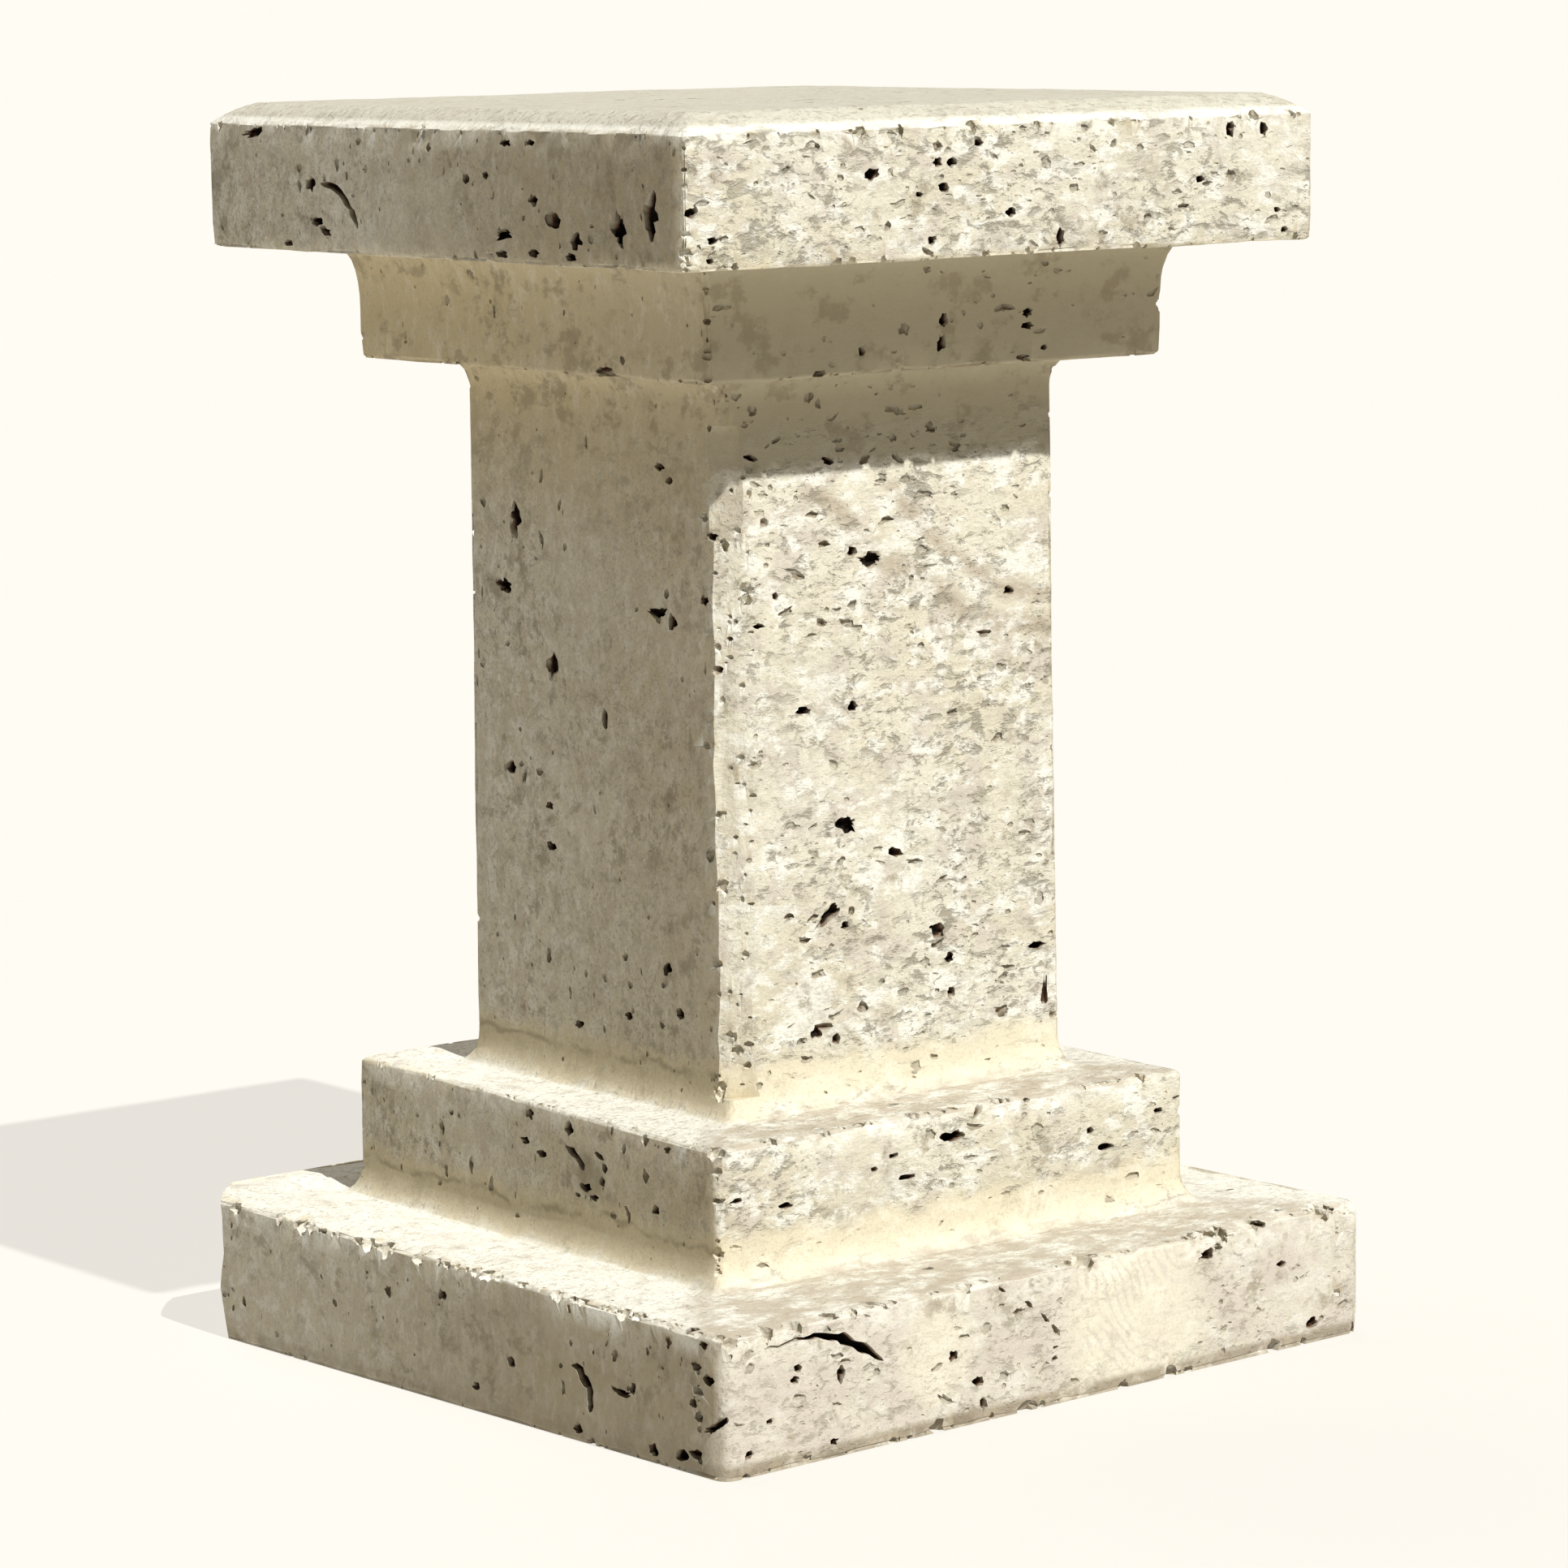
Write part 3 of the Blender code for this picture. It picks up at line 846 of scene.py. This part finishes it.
def makeStone():
    build = makeBlock()
    raiseLedges(build)
    wearBlock(build)
    stone = newObject("carvedPedestal", build)
    build.free()
    applyCut(stone, makeWedges(), "wedges")
    applyCut(stone, makeRubbed(), "rubbed")
    layers = Layers(hollow["layers"], hollow["cell"])
    addNicks(layers, surfaceTree(stone))
    cutLayers(stone, layers, "nicks")
    tree = surfaceTree(stone)  # nicks are clean stone, so the depth that darkens the holes counts from here
    applyCut(stone, makeGrooves(tree), "grooves")
    layers = Layers(hollow["layers"], hollow["cell"])
    addPhotoHoles(layers, tree)
    addScatter(layers, tree)
    cutLayers(stone, layers, "holes")
    paintStone(stone, tree)
    return stone


def paintStone(stone, tree):
    # for the material: how far each point lies under the uncut face, and which way that faces
    hollows = stone.data.attributes.new("hollow", "FLOAT", "POINT")
    ledges = stone.data.attributes.new("ledge", "FLOAT", "POINT")
    fronts = stone.data.attributes.new("front", "FLOAT", "POINT")
    for point, under, ledge, front in zip(stone.data.vertices, hollows.data, ledges.data, fronts.data):
        place, normal, index, distance = tree.find_nearest(point.co)
        under.value = distance
        ledge.value = max(0.0, normal.z)
        front.value = max(0.0, -normal.y)


stoneLook = {
    "cream": (0.685, 0.650, 0.535),
    "buff": (0.625, 0.575, 0.445),
    "pale": (0.800, 0.785, 0.705),
    "pink": (0.560, 0.505, 0.430),
    "fleck": (0.345, 0.310, 0.235),
    "smudge": (0.250, 0.205, 0.130),
    # painted shade colours, for the side creases and for the stone under the slab
    "paintedShadeLeft": (0.490, 0.400, 0.235),
    "paintedShadeNear": (0.420, 0.355, 0.235),
    "paintedShadeFront": (0.335, 0.290, 0.190),
    # painted shade: the brown laid on the sides away from the sun
    "shadedSideBrown": (0.455, 0.370, 0.230),
    "ochre": (0.690, 0.620, 0.445),
    "swirl": (0.760, 0.715, 0.560),
    "dust": (0.430, 0.365, 0.275),
    "tread": (0.830, 0.825, 0.745),
    "bed": (0.530, 0.510, 0.420),
    "shade": (0.250, 0.200, 0.110),
    "grime": (0.270, 0.220, 0.150),
    "rust": (0.150, 0.066, 0.034),
    # painted shade at the bottom of the holes
    "holeShade": (0.016, 0.011, 0.008),
    "roughness": 0.92,
    "gloss": 0.15,
    "reliefDepth": 0.0016,
    "reliefStrength": 0.8,
}

# How strongly each tone is laid over the ones before it, from 0 to 1
toneShare = {
    "blotch": 0.75,
    "pale": 0.85,
    # painted shade on the sides away from the sun, browner and darker
    "shadedSideBrown": 0.36,
    "shadedSideNear": 0.38,  # added towards the front
    "darkFoot": 0.46,
    "darkSlab": 0.36,
    "tan": 0.50,
    "tanBlotch": 0.42,
    "ledge": 0.9,
    "bed": 0.9,
    "cove": 0.65,
    # painted shade in the creases of the side coves
    "creaseShade": 0.5,
    # how strongly the shade under the slab is painted
    "underSlabShade": 0.85,
    "patch": 0.50,
    "ring": 0.62,
    "lump": 0.55,
    "vein": 0.85,
    "smudge": 0.66,
    "pock": 0.66,
    "worn": 0.30,
    "brushed": 0.18,
    "stain": 0.60,
    # painted shade line where the foot coves begin
    "coveEdgeShade": 0.6,
    "streak": 0.30,
    "flake": 0.95,
    "speck": 0.6,
    "grain": 0.28,
    "grainMore": 0.20,  # added on the left side and the level faces
    "dust": 0.85,
    "shallow": 0.65,
    "grime": 0.9,
}

# Noise patterns: stretch along the three axes, turns a metre, and how broken they are
patterns = {
    "wobble": {"scale": 40, "detail": 3, "offset": (4, 4, 4)},
    "cloud": {"scale": 10, "detail": 4},
    "blotch": {"stretch": (1, 1.5, 1.2), "scale": 38, "detail": 5, "roughness": 0.65},
    "pale": {"stretch": (1, 2.2, 1.6), "scale": 60, "detail": 5, "roughness": 0.66, "offset": (3, 1, 5)},
    "ragged": {"stretch": (1, 1, 1.4), "scale": 30, "detail": 5, "offset": (7, 3, 3)},
    "smudge": {"stretch": (1, 1.3, 1.0), "scale": 60, "detail": 7, "roughness": 0.74, "offset": (6, 2, 3)},
    "gathered": {"scale": 14, "detail": 3, "offset": (2, 6, 1)},
    "pock": {"stretch": (1, 0.75, 1), "scale": 105, "detail": 6, "roughness": 0.72, "offset": (9, 4, 6)},
    "brush": {"stretch": (2, 2, 1), "scale": 80, "detail": 5, "roughness": 0.7, "offset": (3, 3, 8)},
    "stain": {"stretch": (1, 1, 1.3), "scale": 46, "detail": 6, "roughness": 0.68, "offset": (2, 2, 9)},
    "streak": {"stretch": (1, 4, 2.4), "scale": 62, "detail": 6, "roughness": 0.68},
    "crowd": {"scale": 18, "detail": 3, "offset": (1, 9, 4)},
    "flake": {
        "stretch": (1, 2.2, 2.0), "scale": 88, "detail": 6, "roughness": 0.68, "distortion": 0.4,
        "offset": (5, 5, 2),
    },
    "speck": {
        "stretch": (1, 2.4, 1.6), "scale": 230, "detail": 3, "roughness": 0.6, "distortion": 0.3,
        "offset": (2, 7, 7),
    },
    "grain": {"scale": 620, "detail": 3, "roughness": 0.7},
    "patchy": {"stretch": (1, 1.6, 1), "scale": 44, "detail": 7, "roughness": 0.72, "offset": (8, 3, 1)},
    "crumb": {"stretch": (1, 2.2, 1.6), "scale": 170, "detail": 6, "roughness": 0.72, "offset": (7, 1, 8)},
}

# Tan veins that curve across the front of the shaft, as circles in its plane: the middle across
# and up, the radius and the width. Then round patches: the middle across and up, and the radius.
marks = {
    "upperVein": (0.135, 0.536, 0.174, 0.007),
    "lowerVein": (0.155, 0.631, 0.286, 0.010),
    "veinLow": 0.345,  # the veins fade out below and above these heights
    "veinHigh": 0.435,
    "veinFade": 0.01,
    "swirl": (0.058, 0.037, 0.052),  # the smooth patch on the plinth's front
    "arcs": (0.092, 0.066),  # the middle of the fine curved lines on it
    "arcPitch": 1250.0,  # radians a metre
    "arcStray": 0.022,
    "creamPatch": (-0.069, 0.038, 0.026),
    "lump": (-0.0485, 0.106, 0.012),  # on the step's left side
}


def addNode(tree, kind, **settings):
    node = tree.nodes.new(kind)
    for name, value in settings.items():
        setattr(node, name, value)
    return node


def plug(tree, source, target):
    tree.links.new(source, target)


def attribute(tree, name):
    # a value that paintStone left on the mesh
    node = addNode(tree, "ShaderNodeAttribute", attribute_type="GEOMETRY", attribute_name=name)
    return node.outputs["Fac"]


def noiseNode(tree, coords, settings):
    # a noise pattern on object coordinates
    mapping = addNode(tree, "ShaderNodeMapping")
    mapping.inputs["Scale"].default_value = settings.get("stretch", (1, 1, 1))
    mapping.inputs["Location"].default_value = settings.get("offset", (0, 0, 0))
    plug(tree, coords, mapping.inputs["Vector"])
    pattern = addNode(tree, "ShaderNodeTexNoise")
    pattern.inputs["Scale"].default_value = settings["scale"]
    pattern.inputs["Detail"].default_value = settings["detail"]
    pattern.inputs["Roughness"].default_value = settings.get("roughness", 0.55)
    pattern.inputs["Distortion"].default_value = settings.get("distortion", 0.0)
    plug(tree, mapping.outputs["Vector"], pattern.inputs["Vector"])
    return pattern.outputs["Fac"]


def band(tree, value, low, high):
    # 0 below low and 1 above high; low may be the larger, which turns the band over
    node = addNode(tree, "ShaderNodeMapRange", interpolation_type="SMOOTHSTEP")
    node.inputs["From Min"].default_value = low
    node.inputs["From Max"].default_value = high
    plug(tree, value, node.inputs["Value"])
    return node.outputs["Result"]


def combine(tree, operation, first, second):
    node = addNode(tree, "ShaderNodeMath", operation=operation)
    for socket, value in zip(node.inputs, (first, second)):
        if isinstance(value, (int, float)):
            socket.default_value = value
        else:
            plug(tree, value, socket)
    return node.outputs["Value"]


def scaled(tree, value, amount):
    return combine(tree, "MULTIPLY", value, amount)


def invert(tree, value):
    return combine(tree, "SUBTRACT", 1.0, value)


def larger(tree, first, second):
    return combine(tree, "MAXIMUM", first, second)


def tint(tree, share, under, over):
    # over laid on under by a share; colours may be plain triples
    node = addNode(tree, "ShaderNodeMix", data_type="RGBA")
    plug(tree, share, node.inputs["Factor"])
    for name, color in (("A", under), ("B", over)):
        socket = next(s for s in node.inputs if s.name == name and s.type == "RGBA")
        if isinstance(color, tuple):
            socket.default_value = (*color, 1)
        else:
            plug(tree, color, socket)
    return next(s for s in node.outputs if s.type == "RGBA")


def lay(tree, color, share, name, tone):
    # one of the stone's tones laid over the colour so far
    return tint(tree, scaled(tree, share, toneShare[name]), color, stoneLook[tone])


def coveMask(tree, height):
    # 1 in the hollows between the blocks, where the stone is smoother and yellower
    stepBase, shaftBase, neckBase, slabBase = levels()[:4]
    bands = (
        (stepBase, stepBase + 0.022),
        (shaftBase, shaftBase + 0.022),
        (neckBase - 0.024, slabBase),
    )
    mask = 0.0
    for low, high in bands:
        above = band(tree, height, low - 0.004, low + 0.006)
        below = band(tree, height, high + 0.006, high - 0.003)
        mask = larger(tree, mask, scaled(tree, above, below))
    return mask


def markDistance(tree, across, height, mark):
    point = addNode(tree, "ShaderNodeCombineXYZ")
    plug(tree, across, point.inputs["X"])
    plug(tree, height, point.inputs["Z"])
    far = addNode(tree, "ShaderNodeVectorMath", operation="DISTANCE")
    far.inputs[1].default_value = (mark[0], 0, mark[1])
    plug(tree, point.outputs["Vector"], far.inputs[0])
    return far.outputs["Value"]


def patchMask(tree, across, height, mark):
    # 1 inside a round patch, which fades out at its rim
    away = combine(tree, "SUBTRACT", markDistance(tree, across, height, mark), mark[2])
    return band(tree, away, 0.2 * mark[2], -0.4 * mark[2])


def veinMask(tree, across, height, mark):
    # 1 along a circle
    away = combine(tree, "SUBTRACT", markDistance(tree, across, height, mark), mark[2])
    return band(tree, combine(tree, "ABSOLUTE", away, 0.0), mark[3], 0.0)


def stonePlaces(tree):
    # what the tones go by: places in metres, and masks from 0 to 1
    neckBase, slabBase, chamferBase = levels()[2:5]
    at = SimpleNamespace()
    coords = addNode(tree, "ShaderNodeTexCoord").outputs["Object"]
    split = addNode(tree, "ShaderNodeSeparateXYZ")
    plug(tree, coords, split.inputs["Vector"])
    at.across, at.back, at.height = (split.outputs[axis] for axis in "XYZ")
    at.depth, at.ledge, at.front = (attribute(tree, name) for name in ("hollow", "ledge", "front"))
    at.noise = {name: noiseNode(tree, coords, settings) for name, settings in patterns.items()}
    waver = combine(tree, "SUBTRACT", at.noise["wobble"], 0.5)
    at.shifted = combine(tree, "ADD", at.height, scaled(tree, waver, 0.02))  # a height that wavers

    at.notFront = invert(tree, at.front)
    at.side = larger(tree, combine(tree, "SUBTRACT", at.notFront, at.ledge), 0.0)
    at.near = band(tree, at.back, 0.10, -0.16)
    at.low = band(tree, at.height, 0.074, 0.062)  # 1 on the plinth
    at.lower = band(tree, at.height, 0.30, 0.20)  # 1 on the foot
    at.upper = band(tree, at.height, slabBase, slabBase + 0.002)
    at.tread = band(tree, at.ledge, 0.88, 0.97)
    at.bed = band(tree, at.height, chamferBase + 0.002, chamferBase + 0.005)
    at.level = larger(tree, at.tread, at.bed)
    at.coves = scaled(tree, coveMask(tree, at.shifted), invert(tree, scaled(tree, at.tread, 0.8)))
    at.swirl = scaled(tree, patchMask(tree, at.across, at.shifted, marks["swirl"]), at.front)

    # painted shade under the slab: it begins at a crisp line on the front, where the slab's shadow ends, and
    # slowly on the sides
    crisp = scaled(tree, band(tree, at.shifted, neckBase - 0.048, neckBase - 0.040), at.front)
    slow = scaled(tree, band(tree, at.shifted, neckBase - 0.110, neckBase - 0.005), at.notFront)
    under = band(tree, at.height, slabBase + 0.001, slabBase - 0.001)
    at.sheltered = scaled(tree, combine(tree, "ADD", crisp, slow), under)

    # less weathered in the shaded band under the slab, in the coves and on the smooth patch
    at.rough = invert(tree, scaled(tree, larger(tree, at.coves, at.ledge), 0.8))
    at.rough = scaled(tree, at.rough, invert(tree, scaled(tree, at.swirl, 0.6)))
    at.rough = scaled(tree, at.rough, invert(tree, scaled(tree, at.sheltered, 0.65)))
    at.fine = invert(tree, scaled(tree, at.side, 0.45))  # the sides are calmer than the front
    at.fine = scaled(tree, at.fine, invert(tree, scaled(tree, at.low, 0.30)))

    crowded = scaled(tree, band(tree, at.noise["crowd"], 0.32, 0.56), at.rough)
    flake = combine(tree, "ADD", at.noise["flake"], scaled(tree, at.upper, 0.014))  # most on the slab
    at.flakes = scaled(tree, scaled(tree, band(tree, flake, 0.53, 0.66), crowded), at.fine)
    speckled = larger(tree, crowded, scaled(tree, at.level, 0.8))
    at.specks = scaled(tree, band(tree, at.noise["speck"], 0.57, 0.68), speckled)
    return at


def baseColor(tree, at):
    # broad clouds, then patches a finger wide
    color = tint(tree, band(tree, at.noise["cloud"], 0.42, 0.66), stoneLook["cream"], stoneLook["buff"])
    color = lay(tree, color, band(tree, at.noise["blotch"], 0.48, 0.62), "blotch", "pink")
    return lay(tree, color, band(tree, at.noise["pale"], 0.49, 0.60), "pale", "pale")


def sideColor(tree, at, color):
    # painted shade: the sides away from the sun are made browner, most towards the front, and darker on the
    # plinth and the slab towards the front
    # painted shade: browner and darker colour on the sides that the sun does not reach
    shadedSideShare = combine(tree, "ADD", scaled(tree, at.near, toneShare["shadedSideNear"]), toneShare["shadedSideBrown"])
    color = tint(tree, scaled(tree, at.side, shadedSideShare), color, stoneLook["shadedSideBrown"])
    foremost = band(tree, at.back, 0.24, -0.14)
    darkFoot = scaled(tree, scaled(tree, at.low, foremost), toneShare["darkFoot"])
    darkSlab = scaled(tree, scaled(tree, at.upper, at.near), toneShare["darkSlab"])
    darker = combine(tree, "ADD", darkFoot, darkSlab)
    color = tint(tree, scaled(tree, at.side, darker), color, stoneLook["shade"])
    tan = scaled(tree, band(tree, at.noise["blotch"], 0.44, 0.54), toneShare["tanBlotch"])
    tan = combine(tree, "ADD", tan, toneShare["tan"])
    return tint(tree, scaled(tree, scaled(tree, at.low, at.front), tan), color, stoneLook["pink"])


def ledgeColor(tree, at, color):
    # pale ledges, a greyer top bed, yellow coves, painted shade in the side creases, and painted shade on
    # the stone under the slab
    color = lay(tree, color, at.ledge, "ledge", "tread")
    color = lay(tree, color, at.bed, "bed", "bed")
    color = lay(tree, color, at.coves, "cove", "ochre")
    # painted shade in the creases of the side coves, just above the ledges, on the foot
    creaseShade = scaled(tree, scaled(tree, at.coves, at.notFront), band(tree, at.ledge, 0.93, 0.72))
    color = lay(tree, color, scaled(tree, creaseShade, at.lower), "creaseShade", "paintedShadeLeft")
    # painted shade under the slab: browner on the left, darker towards the front
    underSlabShade = tint(tree, at.near, stoneLook["paintedShadeLeft"], stoneLook["paintedShadeNear"])
    underSlabShade = tint(tree, at.front, underSlabShade, stoneLook["paintedShadeFront"])
    return tint(tree, scaled(tree, at.sheltered, toneShare["underSlabShade"]), color, underSlabShade)


def markColor(tree, at, color):
    # two cream patches, one with fine curved lines, the brown lump on the step, the shaft's veins
    patch = scaled(tree, patchMask(tree, at.across, at.shifted, marks["creamPatch"]), at.front)
    color = lay(tree, color, larger(tree, patch, at.swirl), "patch", "swirl")
    arcs = markDistance(tree, at.across, at.height, marks["arcs"])
    arcs = combine(tree, "ADD", arcs, scaled(tree, at.noise["ragged"], marks["arcStray"]))
    ring = band(tree, combine(tree, "SINE", scaled(tree, arcs, marks["arcPitch"]), 0.0), 0.0, 0.9)
    ring = scaled(tree, scaled(tree, ring, at.swirl), band(tree, at.noise["ragged"], 0.40, 0.58))
    color = lay(tree, color, ring, "ring", "pink")
    lump = scaled(tree, patchMask(tree, at.back, at.shifted, marks["lump"]), at.side)
    color = lay(tree, color, lump, "lump", "smudge")
    upperVein, lowerVein = (
        veinMask(tree, at.across, at.shifted, marks[name]) for name in ("upperVein", "lowerVein")
    )
    veins = larger(tree, upperVein, lowerVein)
    low, high, fade = marks["veinLow"], marks["veinHigh"], marks["veinFade"]
    veins = scaled(tree, veins, band(tree, at.height, low, low + fade))
    veins = scaled(tree, veins, band(tree, at.height, high, high - fade))
    veins = scaled(tree, scaled(tree, veins, at.front), band(tree, at.noise["pale"], 0.72, 0.46))
    return lay(tree, color, veins, "vein", "dust")


def smudgeColor(tree, at, color):
    # soft brown smudges and small pocks, most on the left side
    gathered = at.noise["gathered"]
    smudge = combine(tree, "ADD", at.noise["smudge"], scaled(tree, at.side, 0.02))
    smudges = scaled(tree, band(tree, smudge, 0.53, 0.65), larger(tree, at.rough, 0.4))
    smudges = scaled(tree, smudges, larger(tree, band(tree, gathered, 0.38, 0.60), 0.25))
    color = lay(tree, color, smudges, "smudge", "smudge")
    pock = combine(tree, "ADD", at.noise["pock"], scaled(tree, at.low, 0.015))
    exposed = larger(tree, at.side, scaled(tree, at.ledge, 0.6))
    pocks = scaled(tree, band(tree, pock, 0.54, 0.64), exposed)
    pocks = scaled(tree, pocks, larger(tree, at.sheltered, larger(tree, at.rough, 0.3)))
    pocks = scaled(tree, pocks, larger(tree, band(tree, gathered, 0.40, 0.58), 0.3))
    color = lay(tree, color, pocks, "pock", "smudge")
    worn = scaled(tree, band(tree, pock, 0.50, 0.62), at.level)
    color = lay(tree, color, worn, "worn", "dust")
    brushed = scaled(tree, band(tree, at.noise["brush"], 0.50, 0.66), at.side)
    color = lay(tree, color, brushed, "brushed", "pale")
    stained = scaled(tree, band(tree, at.noise["stain"], 0.53, 0.63), at.sheltered)
    return lay(tree, color, stained, "stain", "smudge")


def paintCoveEdgeShade(tree, at, color):
    # painted shade: a wavering dark line on the sides where each foot cove begins, in the smudge colour
    coveEdgeShade = 0.0
    for base in levels()[:2]:
        begins = band(tree, at.shifted, base + 0.0150, base + 0.0175)
        ends = band(tree, at.shifted, base + 0.0205, base + 0.0175)
        coveEdgeShade = larger(tree, coveEdgeShade, scaled(tree, begins, ends))
    coveEdgeShade = scaled(tree, scaled(tree, coveEdgeShade, at.side), band(tree, at.noise["stain"], 0.40, 0.56))
    return lay(tree, color, coveEdgeShade, "coveEdgeShade", "smudge")


def beddingColor(tree, at, color):
    # short level dashes on the front and back, upright streaks on the sides, then flecks and grain
    streaks = scaled(tree, band(tree, at.noise["streak"], 0.48, 0.68), at.rough)
    color = lay(tree, color, scaled(tree, streaks, at.fine), "streak", "fleck")
    color = lay(tree, color, at.flakes, "flake", "fleck")
    color = lay(tree, color, at.specks, "speck", "fleck")
    grains = scaled(tree, larger(tree, at.side, at.level), toneShare["grainMore"])
    grains = combine(tree, "ADD", grains, toneShare["grain"])
    grains = scaled(tree, band(tree, at.noise["grain"], 0.48, 0.70), grains)
    return tint(tree, grains, color, stoneLook["fleck"])


def dirtColor(tree, at, color):
    # dust on the front ledges, dirt along the foot, and the holes darker with depth: dirt and rust, then
    # painted shade at the bottom
    patchy = at.noise["patchy"]
    ahead = scaled(tree, at.back, -1.0)
    ahead = combine(tree, "SUBTRACT", ahead, combine(tree, "ABSOLUTE", at.across, 0.0))
    dusty = scaled(tree, band(tree, at.ledge, 0.30, 0.80), band(tree, patchy, 0.34, 0.58))
    dusty = scaled(tree, dusty, larger(tree, band(tree, ahead, -0.03, 0.004), 0.12))
    dusty = scaled(tree, scaled(tree, dusty, invert(tree, at.coves)), at.lower)
    color = lay(tree, color, dusty, "dust", "dust")
    foot = scaled(tree, band(tree, at.height, 0.0085, 0.0045), band(tree, patchy, 0.34, 0.50))
    foot = scaled(tree, foot, combine(tree, "ADD", scaled(tree, at.front, 0.5), 0.3))
    color = tint(tree, foot, color, stoneLook["grime"])
    # the holes darken with depth: fleck and dirt colours, rust, then near-black painted shade at the bottom
    color = lay(tree, color, band(tree, at.depth, 0.0002, 0.0009), "shallow", "fleck")
    color = lay(tree, color, band(tree, at.depth, 0.0010, 0.0020), "grime", "grime")
    color = tint(tree, band(tree, at.depth, 0.0018, 0.0030), color, stoneLook["rust"])
    return tint(tree, band(tree, at.depth, 0.0024, 0.0038), color, stoneLook["holeShade"])


def stoneRelief(tree, at):
    relief = scaled(tree, at.noise["crumb"], larger(tree, at.rough, scaled(tree, at.level, 0.6)))
    relief = combine(tree, "SUBTRACT", relief, scaled(tree, at.flakes, 0.7))
    relief = combine(tree, "SUBTRACT", relief, scaled(tree, at.specks, 0.4))
    relief = combine(tree, "ADD", relief, scaled(tree, scaled(tree, at.noise["streak"], at.rough), 0.7))
    return combine(tree, "ADD", relief, scaled(tree, at.noise["grain"], 0.12))


def travertineMaterial():
    material = bpy.data.materials.new("weatheredTravertine")
    material.use_nodes = True
    tree = material.node_tree
    shader = tree.nodes["Principled BSDF"]
    at = stonePlaces(tree)
    color = baseColor(tree, at)
    for stage in (sideColor, ledgeColor, markColor, smudgeColor, paintCoveEdgeShade, beddingColor, dirtColor):
        color = stage(tree, at, color)
    plug(tree, color, shader.inputs["Base Color"])
    shader.inputs["Roughness"].default_value = stoneLook["roughness"]
    shader.inputs["Specular IOR Level"].default_value = stoneLook["gloss"]

    bump = addNode(tree, "ShaderNodeBump")
    plug(tree, scaled(tree, at.fine, stoneLook["reliefStrength"]), bump.inputs["Strength"])
    bump.inputs["Distance"].default_value = stoneLook["reliefDepth"]
    plug(tree, stoneRelief(tree, at), bump.inputs["Height"])
    plug(tree, bump.outputs["Normal"], shader.inputs["Normal"])
    print("stone material:", len(tree.nodes), "nodes")
    return material


def floorMaterial():
    material = bpy.data.materials.new("paleFloor")
    material.use_nodes = True
    shader = material.node_tree.nodes["Principled BSDF"]
    shader.inputs["Base Color"].default_value = (*light["floorColor"], 1)
    shader.inputs["Roughness"].default_value = 0.9
    shader.inputs["Emission Color"].default_value = (*light["floorGlowColor"], 1)
    shader.inputs["Emission Strength"].default_value = light["floorGlow"]
    return material


def makeFloor():
    build = bmesh.new()
    bmesh.ops.create_circle(build, cap_ends=True, radius=light["floorSize"], segments=64)
    floor = newObject("floor", build)
    build.free()
    floor.data.materials.append(floorMaterial())


def makeSun(name, azimuth):
    sun = bpy.data.lights.new(name, "SUN")
    sun.energy = light[name + "Strength"]
    sun.angle = math.radians(light[name + "Angle"])
    sun.color = light[name + "Color"]
    lamp = bpy.data.objects.new(name, sun)
    lamp.rotation_euler = (math.radians(90 - light[name + "Elevation"]), 0, math.radians(azimuth))
    bpy.context.scene.collection.objects.link(lamp)


def makeLight():
    makeSun("sun", light["sunAzimuth"])
    makeSun("rear", 180)
    world = bpy.data.worlds.new("softSky")
    world.use_nodes = True
    background = world.node_tree.nodes["Background"]
    background.inputs["Color"].default_value = (*light["skyColor"], 1)
    background.inputs["Strength"].default_value = light["skyStrength"]
    bpy.context.scene.world = world
    bpy.context.scene.view_settings.view_transform = "Standard"


def makeCamera():
    lens = bpy.data.cameras.new("photoView")
    lens.lens = camera["lens"]
    lens.sensor_width = camera["sensor"]
    lens.clip_end = 2 * light["floorSize"]
    view = bpy.data.objects.new("photoView", lens)
    view.matrix_world = Matrix.Translation(cameraPlace()) @ cameraTurn().to_4x4()
    bpy.context.scene.collection.objects.link(view)
    bpy.context.scene.camera = view


stone = makeStone()
stone.data.materials.clear()
stone.data.materials.append(travertineMaterial())
stone.data.shade_smooth()
stone.data.set_sharp_from_angle(angle=math.radians(29))
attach(stone, "root")
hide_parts("pedestal")
stone.data.calc_loop_triangles()
print("stone:", len(stone.data.polygons), "faces,", len(stone.data.loop_triangles), "triangles")

makeFloor()
makeLight()
makeCamera()
print("floor, light and camera made")
